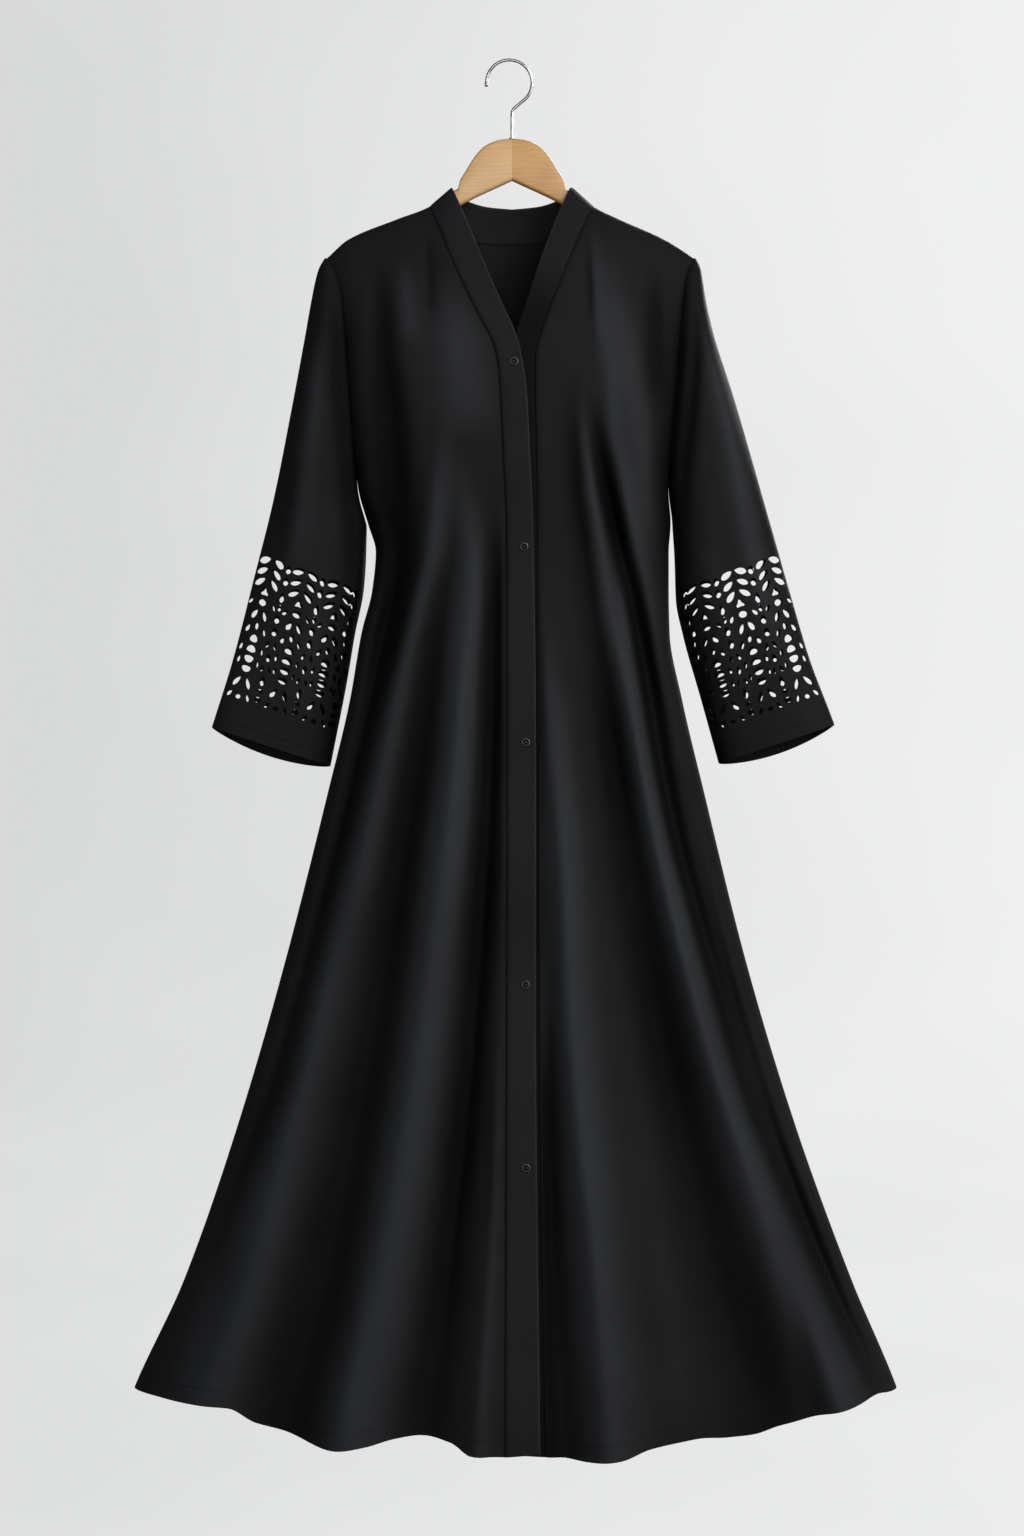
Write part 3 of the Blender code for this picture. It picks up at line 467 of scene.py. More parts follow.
def sleeve_square(side, face):
    """Return the squared depth of a sleeve, which meets the body's depth along the armhole."""
    body = body_square(face)

    def square(x, z):
        armhole = np.maximum(z, UNDERARM_Z)
        edge = np.maximum(body(side_x[side](armhole), armhole), 0) * (z > UNDERARM_Z)
        lowered = np.clip((TIP_Z - z) / (TIP_Z - UNDERARM_Z), 0, 1)
        deep = edge + np.where(z > UNDERARM_Z, lowered * sleeve_depth(UNDERARM_Z) ** 2,
                               sleeve_depth(z) ** 2)
        deep = np.maximum(deep, SHALLOWEST)
        inner_share = np.clip(1 - edge / deep, 0, 1) ** (1 / SLEEVE_POWER)
        outer, inner = outer_x[side](z), sleeve_inner_x(side, z)
        across = -1 + (1 + inner_share) * (x - outer) / (inner - outer)
        return deep * (1 - np.abs(across) ** SLEEVE_POWER)

    return square


def sleeve_name(side, face):
    return "sleeve_{}_{}".format(side, FACE_NAME[face])


def sleeve_folds(side, face):
    place = sleeve_name(side, face)

    def rise(x, z):
        outer, inner = outer_x[side](z), sleeve_inner_x(side, z)
        edge = np.minimum(np.abs(x - outer), np.abs(inner - x))
        fallen = ease((TIP_Z - z) / BELOW_CREST)
        armhole = seam_dip(np.abs(inner - x)) * ease((z - UNDERARM_Z) / ABOVE_UNDERARM)
        return fallen * (ease(edge / (2 * CREASE_CLEAR)) * crease_rise(place, x, z) + armhole)

    return rise


def no_folds(x, z):
    return 0 * x


def fold_painted_shade(rise, z, beside_armhole):
    """Painted shade for the crepe's colour: 0 in the bottom of a fold and 1 on its crest, where folds are
    taller towards the hem.

    It is also painted dark beside the armhole, in the valley between the sleeve and the body.
    """
    share = 0.5 + 0.5 * np.tanh(rise / np.interp(-z, FOLD_HEIGHT_AT, FOLD_HEIGHTS))
    armhole_shade = np.exp(-((beside_armhole / ARMHOLE_SHADE_REACH) ** 2)) * ease((TIP_Z - z) / ARMHOLE_SHADE_FROM)
    return share * (1 - armhole_shade)


print("sleeve at the elbow is", float(abs(outer_x[LEFT](-600.0) - inner_x[LEFT](-600.0))), "mm wide")

# %% From a place in the front view to the cloth
SLOPE_STEP = 0.05


def slopes(depth, x, z):
    """How fast a depth grows along x and along z."""
    return ((depth(x + SLOPE_STEP, z) - depth(x - SLOPE_STEP, z)) / (2 * SLOPE_STEP),
            (depth(x, z + SLOPE_STEP) - depth(x, z - SLOPE_STEP)) / (2 * SLOPE_STEP))


def unit(ways):
    return ways / np.linalg.norm(ways, axis=-1, keepdims=True)


def middle_surface(face, square, folds, x, z):
    """Points on the middle of the cloth, and the directions that face out of it there."""
    root = np.sqrt(np.maximum(square(x, z), 0))
    square_x, square_z = slopes(square, x, z)
    fold_x, fold_z = slopes(folds, x, z)
    points = np.stack((x, face * (root + folds(x, z)), z), axis=-1)
    out = np.stack((-(square_x + 2 * root * fold_x), face * 2 * root, -(square_z + 2 * root * fold_z)),
                   axis=-1)
    return points, unit(out)


print("a point on the chest:", middle_surface(FRONT, body_square(FRONT), body_folds(FRONT),
                                              np.array([60.0]), np.array([-400.0]))[0].round(1))

# %% [markdown]
# ## Making cloth meshes
#
# Cloth has two faces and a cut edge. Each panel is two layers of the same grid with a rim between
# them, which stays closed round every hole. A Solidify modifier would do it too, but its rims cross
# where small holes lie close together, so the layers are made here.

# %% Grid, mesh and cloth helpers
CLOTH_SMOOTH, THREAD_SMOOTH, HARD_SMOOTH = 75, 60, 40


def grid_faces(rows, columns):
    first = np.arange(rows - 1)[:, None] * columns + np.arange(columns - 1)[None, :]
    first = first.ravel()
    return np.stack((first, first + 1, first + columns + 1, first + columns), axis=-1).tolist()


def ring_turns(sides):
    """Cosine and sine of even turns round a ring."""
    turn = np.linspace(0, 2 * math.pi, sides, endpoint=False)
    return np.cos(turn), np.sin(turn)


def ring_faces(rings, sides):
    """Faces of a solid drawn through rings of points, closed at both ends."""
    last = (rings - 1) * sides
    faces = [tuple(range(sides)), tuple(range(last + sides - 1, last - 1, -1))]
    for start in range(0, last, sides):
        for k in range(sides):
            a, b = start + k, start + (k + 1) % sides
            faces.append((b, a, a + sides, b + sides))
    return faces


def linked(name, data):
    """Put mesh, lamp or camera data into the scene as one object."""
    thing = bpy.data.objects.new(name, data)
    bpy.context.scene.collection.objects.link(thing)
    return thing


def link_mesh(name, points, faces, smooth_angle):
    """Make one object from millimetre points, its faces turned to look out."""
    points = np.asarray(points, float)
    fan = [(f[0], f[i], f[i + 1]) for f in faces for i in range(1, len(f) - 1)]
    a, b, c = (points[[t[k] for t in fan]] for k in range(3))
    if np.einsum("ij,ij->i", a, np.cross(b, c)).sum() < 0:
        faces = [tuple(reversed(f)) for f in faces]
    mesh = bpy.data.meshes.new(name)
    mesh.from_pydata((points * MM).tolist(), [], faces)
    mesh.validate()
    mesh.shade_smooth()
    mesh.set_sharp_from_angle(angle=math.radians(smooth_angle))
    return linked(name, mesh)


def cloth_wall(name, points, out, faces, thickness, painted_shades=0.5):
    """Two layers of a sheet, half the thickness to each side, and a rim along every free edge.

    The painted shade of each point, low in a fold's valley and high on its crest, is kept with it, for the
    finish to read.
    """
    count = len(points)
    half = np.broadcast_to(np.asarray(thickness, float) / 2, (count,))[:, None]
    layers = np.concatenate((points + out * half, points - out * half))
    closed = [tuple(f) for f in faces]
    closed += [tuple(i + count for i in reversed(f)) for f in faces]
    edges = {(f[i], f[(i + 1) % len(f)]) for f in faces for i in range(len(f))}
    closed += [(b, a, a + count, b + count) for a, b in sorted(edges) if (b, a) not in edges]
    cloth = link_mesh(name, layers, closed, CLOTH_SMOOTH)
    # The crest attribute carries painted shade: the crepe is coloured dark low in a fold and pale on its
    # crest.
    kept = cloth.data.attributes.new("crest", "FLOAT", "POINT")
    kept.data.foreach_set("value", np.tile(np.broadcast_to(painted_shades, (count,)), 2).astype(np.float32))
    return cloth


def attach(thing, slot, material, *nodes):
    """Every piece rides on the body, stands for its solids and takes its finish."""
    thing.data.materials.append(material)
    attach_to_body(thing, BODY)
    if nodes:
        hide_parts(*nodes)
    return thing


print("helpers ready")

# %% [markdown]
# ## Shared finishes as node groups
#
# Three effects come back in more than one finish, so each is a group with its own inputs. Thread
# grain serves the crepe and the sewing thread, soft patches serve the cloth and the wood, and fine
# scratches serve the wire and the snaps. All read object coordinates, so no map has to be unwrapped.

# %% Helpers for node groups
def new_group(name, inputs, outputs):
    group = bpy.data.node_groups.new(name, "ShaderNodeTree")
    for title, start in inputs:
        socket = group.interface.new_socket(title, in_out="INPUT", socket_type="NodeSocketFloat")
        socket.default_value = start
    for title, kind in outputs:
        group.interface.new_socket(title, in_out="OUTPUT", socket_type=kind)
    group.nodes.new("NodeGroupInput").name = "In"
    group.nodes.new("NodeGroupOutput").name = "Out"
    return group


def node(tree, kind, **settings):
    made = tree.nodes.new("ShaderNode" + kind)
    for key, value in settings.items():
        if key in made.inputs:
            made.inputs[key].default_value = value
        else:
            setattr(made, key, value)
    return made


def math_node(tree, operation, first, second):
    made = node(tree, "Math", operation=operation)
    for socket, value in zip(made.inputs, (first, second)):
        if isinstance(value, (int, float)):
            socket.default_value = value
        else:
            tree.links.new(value, socket)
    return made.outputs[0]


def stretched(tree, x, y, z):
    """Object coordinates scaled differently along each axis."""
    place = node(tree, "TexCoord")
    mapping = node(tree, "Mapping")
    mapping.inputs["Scale"].default_value = (x, y, z)
    tree.links.new(place.outputs["Object"], mapping.inputs["Vector"])
    return mapping.outputs["Vector"]


print("node helpers ready")

# %% Thread grain: fine yarns with crepe's crinkle
def make_thread_grain():
    group = new_group("thread_grain", (("Yarns per metre", 2600.0), ("Crinkle per metre", 420.0),
                                       ("Crinkle share", 0.5)),
                      (("Height", "NodeSocketFloat"), ("Shade", "NodeSocketFloat")))
    given, out = group.nodes["In"], group.nodes["Out"]
    where = node(group, "TexCoord").outputs["Object"]
    yarns = []
    for direction in ("X", "Z"):
        wave = node(group, "TexWave", wave_type="BANDS", bands_direction=direction, Distortion=2.2,
                    Detail=2.0)
        wave.inputs["Detail Scale"].default_value = 1.4
        group.links.new(where, wave.inputs["Vector"])
        group.links.new(given.outputs["Yarns per metre"], wave.inputs["Scale"])
        yarns.append(wave.outputs["Fac"])
    weave = math_node(group, "MULTIPLY", yarns[0], yarns[1])
    crinkle = node(group, "TexNoise", Detail=3.0, Roughness=0.6, Distortion=0.8)
    group.links.new(where, crinkle.inputs["Vector"])
    group.links.new(given.outputs["Crinkle per metre"], crinkle.inputs["Scale"])
    crinkled = math_node(group, "MULTIPLY", crinkle.outputs["Fac"], given.outputs["Crinkle share"])
    height = math_node(group, "ADD", weave, crinkled)
    group.links.new(height, out.inputs["Height"])
    group.links.new(math_node(group, "MULTIPLY", height, 0.6), out.inputs["Shade"])
    return group


thread_grain = make_thread_grain()
print("group:", thread_grain.name)

# %% Soft patches: slow changes of tone over a hand's breadth
def make_soft_patches():
    group = new_group("soft_patches", (("Patches per metre", 6.0), ("Contrast", 1.0)),
                      (("Mask", "NodeSocketFloat"),))
    given, out = group.nodes["In"], group.nodes["Out"]
    noise = node(group, "TexNoise", Detail=2.0, Roughness=0.5)
    group.links.new(node(group, "TexCoord").outputs["Object"], noise.inputs["Vector"])
    group.links.new(given.outputs["Patches per metre"], noise.inputs["Scale"])
    centred = math_node(group, "SUBTRACT", noise.outputs["Fac"], 0.5)
    spread = math_node(group, "MULTIPLY", centred, given.outputs["Contrast"])
    group.links.new(math_node(group, "ADD", spread, 0.5), out.inputs["Mask"])
    return group


soft_patches = make_soft_patches()
print("group:", soft_patches.name)

# %% Fine scratches: thin marks from handling, for the metal
def make_fine_scratches():
    group = new_group("fine_scratches", (("Marks per metre", 900.0), ("Reach", 9.0)),
                      (("Mask", "NodeSocketFloat"),))
    given, out = group.nodes["In"], group.nodes["Out"]
    noise = node(group, "TexNoise", Detail=4.0, Roughness=0.7, Distortion=1.5)
    group.links.new(stretched(group, 1.0, 1.0, 0.12), noise.inputs["Vector"])
    group.links.new(given.outputs["Marks per metre"], noise.inputs["Scale"])
    sharp = math_node(group, "POWER", noise.outputs["Fac"], given.outputs["Reach"])
    group.links.new(math_node(group, "MULTIPLY", sharp, 40.0), out.inputs["Mask"])
    return group


fine_scratches = make_fine_scratches()
print("group:", fine_scratches.name)

# %% Place a group in a material, and colour by a mask
def new_finish(name, **settings):
    material = bpy.data.materials.new(name)
    material.use_nodes = True
    shader = material.node_tree.nodes["Principled BSDF"]
    for key, value in settings.items():
        shader.inputs[key.replace("_", " ")].default_value = value
    return material, material.node_tree, shader


def placed(tree, group, **values):
    made = tree.nodes.new("ShaderNodeGroup")
    made.node_tree = group
    for key, value in values.items():
        made.inputs[key.replace("_", " ")].default_value = value
    return made


def ramp(tree, mask, *stops):
    """Map a 0 to 1 mask to colours or values: stops are (place, colour or number)."""
    made = node(tree, "ValToRGB")
    band = made.color_ramp
    while len(band.elements) < len(stops):
        band.elements.new(0.5)
    for element, (place, colour) in zip(band.elements, stops):
        element.position = place
        element.color = (*colour, 1) if isinstance(colour, tuple) else (colour, colour, colour, 1)
    tree.links.new(mask, made.inputs["Fac"])
    return made.outputs["Color"]


def coloured(tree, shader, mask, *stops):
    tree.links.new(ramp(tree, mask, *stops), shader.inputs["Base Color"])


def roughened(tree, shader, mask, *stops):
    tree.links.new(ramp(tree, mask, *stops), shader.inputs["Roughness"])


def bumped(tree, shader, height, distance, strength=1.0):
    bump = node(tree, "Bump", Strength=strength, Distance=distance)
    tree.links.new(height, bump.inputs["Height"])
    tree.links.new(bump.outputs["Normal"], shader.inputs["Normal"])


print("finish helpers ready")

# %% [markdown]
# ## Black crepe
#
# Crepe is woven from hard-twisted yarn, which gives a matt, faintly pebbled face. Black crepe is
# never pure black: folds that face the light go a cool charcoal. A dark base with a rough, low
# gloss keeps the valleys deep, and the crinkle breaks the highlight so the cloth doesn't look wet.
# The colour is also painted: paler on the crests of the folds as painted highlight, and darker in
# the valleys, the seams and beside the armhole as painted shade.

# %% The crepe
# Colours of painted shade in the valleys, the middle tone, and painted highlight on the crests.
CREPE_DARK = (0.0016, 0.0017, 0.0019)
CREPE_HALF = (0.0122, 0.0129, 0.0139)
CREPE_PALE = (0.0380, 0.0400, 0.0428)
FOLD_SHADE_WEIGHT, MOTTLE_WEIGHT = 0.85, 0.5


def make_crepe(name, lift=1.0):
    material, tree, shader = new_finish(name, Specular_IOR_Level=0.07, Sheen_Weight=0.015,
                                        Sheen_Roughness=0.5)
    patches = placed(tree, soft_patches, Patches_per_metre=5.0, Contrast=1.6)
    grain = placed(tree, thread_grain, Yarns_per_metre=2400.0, Crinkle_per_metre=380.0,
                   Crinkle_share=0.9)
    # Painted shade and highlight: the crest attribute darkens the colour in fold valleys, seams and beside
    # the armhole and lightens it on crests; the mottle is the crepe's own random tone.
    crest = node(tree, "Attribute", attribute_name="crest")
    mottle = math_node(tree, "MULTIPLY", patches.outputs["Mask"], grain.outputs["Shade"])
    tone = math_node(tree, "ADD", math_node(tree, "MULTIPLY", crest.outputs["Fac"], FOLD_SHADE_WEIGHT),
                     math_node(tree, "MULTIPLY", mottle, MOTTLE_WEIGHT))
    dark, half, pale = (tuple(c * lift for c in colour) for colour in (CREPE_DARK, CREPE_HALF, CREPE_PALE))
    coloured(tree, shader, tone, (0.1, dark), (0.5, half), (0.95, pale))
    roughened(tree, shader, patches.outputs["Mask"], (0.2, 0.52), (0.8, 0.60))
    bumped(tree, shader, grain.outputs["Height"], 0.00012, 0.5)
    return material


crepe = make_crepe("black_crepe")
band_crepe = make_crepe("faced_black_crepe", 1.05)
print("finishes:", crepe.name, band_crepe.name)

# %% [markdown]
# ## Sewing thread
#
# Black polyester thread is slightly glossier than crepe and shows as short raised dashes.

# %% The thread
THREAD_DARK, THREAD_PALE = (0.003, 0.003, 0.0035), (0.009, 0.009, 0.010)


def make_thread():
    material, tree, shader = new_finish("black_thread", Specular_IOR_Level=0.15)
    grain = placed(tree, thread_grain, Yarns_per_metre=5200.0, Crinkle_per_metre=900.0,
                   Crinkle_share=0.3)
    coloured(tree, shader, grain.outputs["Shade"], (0.1, THREAD_DARK), (0.8, THREAD_PALE))
    roughened(tree, shader, grain.outputs["Shade"], (0.1, 0.42), (0.8, 0.55))
    bumped(tree, shader, grain.outputs["Height"], 0.00008, 0.6)
    return material


black_thread = make_thread()
print("finish:", black_thread.name)

# %% [markdown]
# ## Fronts
#
# Each front is one A-line panel from the shoulder to the hem. Its grid is finer where the cloth
# turns over the shoulder, round the side and at the hem, because a coarse grid shows corners there.
# The left one tucks in under the overlapping band towards the hem, so it lies low there and is painted in
# shade. The hem isn't level: it waves with the folds that reach it.

# %% Rows down the panels
CREST_ROWS = 14
CREST_REACH = 26.0
ROW_STEP = 5.2
HEM_ROWS = (-1479.0, -1482.0, -1483.4, -1484.0)

# Over the shoulder the rows lie close together, and then spread out.
crest_rows = TIP_Z - CREST_REACH * np.linspace(0, 1, CREST_ROWS) ** 2
plain_rows = np.arange(crest_rows[-1] - ROW_STEP, HEM_ROWS[0] + 1, -ROW_STEP)
panel_row = np.concatenate((crest_rows, plain_rows, HEM_ROWS))
print("rows down a panel:", len(panel_row))

# %% Place on a front
def row_fades(row):
    top = np.clip((row - YOKE_END_Z) / (TIP_Z - YOKE_END_Z), 0, 1)
    hem = np.clip((HEM_FREE_Z - row) / (HEM_FREE_Z - SIDE_HEM_Z), 0, 1)
    return top, hem


def seam_height(side, row):
    """Height on the front seam for a row, named by its z at the side."""
    top, hem = row_fades(row)
    return row + (crest(NECK_X[side]) - TIP_Z) * top + (CENTRE_HEM_Z - SIDE_HEM_Z) * hem


# How far the hem rises or dips along a front: share from the seam, then the rise.
HEM_WAVE = {
    RIGHT: ((0, 0), (0.09, 0), (0.14, 11), (0.21, 15), (0.29, 12), (0.37, 3), (0.47, -5), (0.575, 0),
            (0.66, 5), (0.73, 17), (0.80, 14), (0.90, 7), (1, 0)),
    LEFT: ((0, 0), (0.04, -2), (0.13, -5), (0.21, -4.5), (0.29, 2), (0.42, 6), (0.51, 0), (0.59, -4.5),
           (0.66, 0), (0.80, 5), (0.90, 5), (1, 0)),
}
hem_wave = {side: smooth_line(rows) for side, rows in HEM_WAVE.items()}


def front_place(side, share, row):
    """Place in the front view for a share across the front and a row."""
    top, hem = row_fades(row)
    shoulder = crest(mix(NECK_X[side], side_x[side](TIP_Z), share)) - TIP_Z
    drop = (CENTRE_HEM_Z - SIDE_HEM_Z) * (1 - share) - HEM_SAG * np.sin(math.pi * share)
    drop = drop + hem_wave[side](share)
    at_seam = seam_x[side](seam_height(side, row)) - OUTWARD[side] * SEWN
    return mix(at_seam, side_x[side](row), share), row + shoulder * top + drop * hem


print("centre of the right hem:", [round(float(v)) for v in front_place(RIGHT, 0.0, SIDE_HEM_Z)])

# %% Shade beside the armhole, and the cloth of a body panel
BELOW_ARMHOLE = 0.25


def body_armhole(x, z):
    """How far a place lies from the armhole, which ends at the underarm."""
    beside = np.minimum(x - side_x[RIGHT](z), side_x[LEFT](z) - x)
    return np.hypot(beside, np.maximum(UNDERARM_Z - z, 0) * BELOW_ARMHOLE)


def body_cloth(face, x, z):
    """Points of a body panel, the ways out of it, and the painted shade of each, by how high it lies on its
    fold.
    """
    folds = body_folds(face)
    points, out = middle_surface(face, body_square(face), folds, x, z)
    return points, out, fold_painted_shade(folds(x, z), z, body_armhole(x, z))


print("armhole from the chest:", float(body_armhole(60.0, -400.0)))

# %% Make both fronts
# Painted shade: its reach and depth at the seam, and where and how strongly the tucked-in left front is
# darkened.
SEAM_SHADE, SEAM_PAINTED_DARK = 1.4, 0.25
TUCK_FROM = -1040
TUCK_REACH = 140.0
TUCK_AT, TUCK_BREADTH = 6.0, 12.0
TUCK_SHADE = 0.85
FRONT_COLUMNS = 100
FIRST_COLUMN = 0.016
SIDE_BUNCHING = 0.8
SEAM_COLUMNS = (0, 0.004, 0.009)


def front_shares():
    even = np.linspace(FIRST_COLUMN, 1, FRONT_COLUMNS)
    bunched = mix(even, np.sin(even * math.pi / 2), SIDE_BUNCHING)
    return np.concatenate((SEAM_COLUMNS, bunched))


def seam_painted_shade(side, x, z):
    """Painted shade: the colour darkens in the groove of the seam, and on the left front where it is tucked
    in under the band.
    """
    from_seam = np.abs(x - seam_x[side](z))
    tone = mix(SEAM_PAINTED_DARK, 1, ease(from_seam / SEAM_SHADE))
    if side == RIGHT:
        return tone
    tuck = np.exp(-(((from_seam - TUCK_AT) / TUCK_BREADTH) ** 2)) * ease((TUCK_FROM - z) / TUCK_REACH)
    return tone * (1 - TUCK_SHADE * tuck)


def make_front(side):
    share, row = np.meshgrid(front_shares(), panel_row)
    x, z = front_place(side, share.ravel(), row.ravel())
    points, out, painted_shades = body_cloth(FRONT, x, z)
    faces = grid_faces(*share.shape)
    cloth = cloth_wall("front_cloth_" + side, points, out, faces, CLOTH, painted_shades * seam_painted_shade(side, x, z))
    return attach(cloth, "crepe", crepe, "front_" + side)


fronts = {side: make_front(side) for side in (RIGHT, LEFT)}
print("front faces:", {side: len(front.data.polygons) for side, front in fronts.items()})

# %% [markdown]
# ## Back
#
# The back is one panel. Its top follows the shoulders and dips at the neck, where the band sits, so
# its columns are spaced along the shoulder first and spread out evenly lower down.

# %% Make the back
SHOULDER_COLUMNS = 44
NECK_STEP = 4.0
BACK_BUNCHING = 0.55
HEM_FULLNESS = 0.8


def back_tops():
    """Top x of each column: finer towards the shoulder points, even across the neck."""
    even = np.linspace(0, 1, SHOULDER_COLUMNS)
    out_share = np.sin(even * math.pi / 2)
    right = [mix(NECK_X[RIGHT], side_x[RIGHT](TIP_Z), u) for u in out_share[::-1]]
    left = [mix(NECK_X[LEFT], side_x[LEFT](TIP_Z), u) for u in out_share]
    neck = np.arange(NECK_X[RIGHT] + NECK_STEP, NECK_X[LEFT] - NECK_STEP / 2, NECK_STEP)
    return np.array([*right, *neck, *left], float)


def back_top_z(x):
    return np.where((x > NECK_X[RIGHT]) & (x < NECK_X[LEFT]), back_neck_z(np.abs(x)), crest(x))


def back_hem_drop(across):
    return (CENTRE_HEM_Z + BACK_HEM_LIFT - SIDE_HEM_Z) * np.sin(math.pi * across) ** HEM_FULLNESS


def make_back():
    tops = back_tops()
    right, left = side_x[RIGHT](TIP_Z), side_x[LEFT](TIP_Z)
    even = np.linspace(0, 1, len(tops))
    low_share = mix(even, (1 - np.cos(math.pi * even)) / 2, BACK_BUNCHING)
    share, row = np.meshgrid(np.arange(len(tops)), panel_row)
    share, row = share.ravel(), row.ravel()
    top, hem = row_fades(row)
    spread = ease((TIP_Z - row) / (TIP_Z - UNDERARM_Z))
    across = np.clip(mix(((tops - right) / (left - right))[share], low_share[share], spread), 0, 1)
    x = mix(side_x[RIGHT](row), side_x[LEFT](row), across)
    z = row + (back_top_z(tops) - TIP_Z)[share] * top + back_hem_drop(across) * hem
    points, out, painted_shades = body_cloth(BACK, x, z)
    cloth = cloth_wall("back_cloth", points, out, grid_faces(len(panel_row), len(tops)), CLOTH, painted_shades)
    return attach(cloth, "crepe", crepe, "back")


back = make_back()
print("back faces:", len(back.data.polygons))

# %% [markdown]
# ## Neckband and placket
#
# A doubled strip is sewn to each front and carries on round the neck. The wearer's right one laps
# over the left. Its free edge is a fold, not a cut, so the wall grows thin and round towards it, and
# its colour is painted pale there as a highlight. At the seam it is one layer thick, like the panel
# beside it, and it sinks into a groove whose colour is painted dark as shade.

# %% Lines of the bands
BAND_SHARES = (0, 0.012, 0.035, 0.08, 0.2, 0.35, 0.5, 0.65, 0.8, 0.92, 0.965, 0.985, 1)
BAND_ROUND = 0.05
BAND_FILLS = 0.08
BACK_STATIONS = 26
BACK_FROM = 0.06
AT_SHOULDER = 0.3


def lines_of(rows):
    """One smooth line for each column of a table, read by its first column."""
    return [smooth_line([(row[0], row[k]) for row in rows]) for k in range(1, len(rows[0]))]


def band_stations(side):
    """Pairs of seam and edge places down the front, over the shoulder and round to the back."""
    outward = OUTWARD[side]
    edge_x, edge_z = lines_of(BAND_EDGE[side])
    stations = []
    for z in seam_height(side, panel_row[::-1]):
        stations.append((FRONT, (seam_x[side](z) + outward * SEWN, z), (edge_x(z), edge_z(z))))
    seam_z, free_x, free_z = lines_of(BACK_NECK)
    reach = BACK_NECK[-1][0]
    for x in reach * np.cos(np.linspace(BACK_FROM, 1, BACK_STATIONS) * math.pi / 2):
        stations.append((BACK, (outward * x, seam_z(x) - SEWN), (outward * free_x(x), free_z(x))))
    return stations


print("stations along a band:", len(band_stations(RIGHT)))

# %% Make both bands
FOLD_THIN = 0.25


def round_end(t):
    """A quarter circle: upright where it starts and level at 1."""
    return np.sqrt(1 - (1 - np.clip(t, 0, 1)) ** 2)


def band_thickness(share):
    """One layer at the seam, doubled beyond it and rounding off at the folded edge."""
    full = mix(CLOTH, BAND_CLOTH, ease(share / BAND_FILLS))
    return full * mix(FOLD_THIN, 1, round_end((1 - share) / BAND_ROUND))


# Painted shade across a band: its colour is darkest in the groove of the seam and palest on the
# folded edge, as a painted highlight. The under band is painted in the shade of the upper one from where they
# cross.
BAND_PAINTED_SHADE = ((0, 0.08), (0.012, 0.16), (0.035, 0.45), (0.08, 0.55), (0.92, 0.55), (0.965, 0.7), (1, 1.0))
UNDERLAP_PAINTED_SHADE = 0.12


def make_band(side):
    shares = np.array(BAND_SHARES)
    band_shade = np.interp(shares, *zip(*BAND_PAINTED_SHADE))
    points, out, thick, painted_shades = [], [], [], []
    for face, seam, edge in band_stations(side):
        x, z = mix(seam[0], edge[0], shares), mix(seam[1], edge[1], shares)
        place, normal = middle_surface(face, body_square(face), no_folds, x, z)
        if face == FRONT and seam[1] > crest(NECK_X[side]) - AT_SHOULDER:
            place[:, 1] = 0
        lapped = ease((LAP_START_Z - z) / (LAP_START_Z - LAP_FULL_Z)) * (face == FRONT)
        sunk = seam_dip(shares * math.hypot(edge[0] - seam[0], edge[1] - seam[1]))
        sunk = sunk * ease((crest(x) - z) / BELOW_CREST)
        points.append(place + normal * (sunk - OUTWARD[side] * LAP * lapped)[:, None])
        out.append(normal)
        thick.append(band_thickness(shares))
        # Painted shade: the under band is darkened where the upper one laps over it.
        painted_shades.append(band_shade if side == RIGHT else band_shade * mix(1, UNDERLAP_PAINTED_SHADE, lapped))
    faces = grid_faces(len(points), len(shares))
    points, out, thick, painted_shades = (np.concatenate(rows) for rows in (points, out, thick, painted_shades))
    band = cloth_wall("band_cloth_" + side, points, out, faces, thick, painted_shades)
    return attach(band, "crepe", band_crepe, "band_" + side), points, out


bands = {side: make_band(side) for side in (RIGHT, LEFT)}
print("band faces:", {side: len(band[0].data.polygons) for side, band in bands.items()})

# %% [markdown]
# ## Sleeves with cutwork
#
# Leaf-shaped holes are cut through a broad band above each cuff, in leafy sprigs and thin stems by
# turns. A shape that is full of holes doesn't suit a grid, so half a sleeve is laid out flat, its
# outline and holes are joined into triangles, and the flat sheet is then carried onto the sleeve.

# %% The cutwork's repeat
BAND_TOP = 590.0
CUT_COLUMNS = (0.135, 0.305, 0.47, 0.635, 0.80, 0.945)

# A hole lies so far below the band's top and, with its mirror image, beside the column's middle.
Cut = namedtuple("Cut", "shape down aside length width lean")
SPRIG = (
    Cut("leaf", 7.5, 8.3, 14.5, 7.6, 66), Cut("leaf", 19.5, 8.5, 14, 6.6, 57),
    Cut("leaf", 31.5, 8.3, 14.5, 6.4, 50), Cut("bud", 41.5, 0, 8.5, 10, 0),
    Cut("seed", 53, 0, 7.4, 9.8, 0), Cut("leaf", 67, 5.6, 12, 5.6, 28),
    Cut("dome", 93, 0, 8.4, 10.2, 0), Cut("dome", 104.5, 0, 7.8, 11.6, 0),
    Cut("bowl", 116, 0, 7.8, 11.8, 0), Cut("bowl", 127, 0, 7.0, 11.4, 0),
    Cut("leaf", 142, 6.4, 13, 5.2, 30), Cut("leaf", 55, 13.6, 8, 4.2, 38),
    Cut("seed", 79.5, 0, 8, 5.2, 0), Cut("leaf", 84, 9.4, 9, 4.4, 24),
    Cut("leaf", 105, 12.2, 8, 3.8, 14), Cut("leaf", 119, 11.0, 7.5, 3.6, 10),
    Cut("leaf", 157, 10.5, 8, 4.0, 34), Cut("seed", 158, 0, 5, 6.5, 0),
)
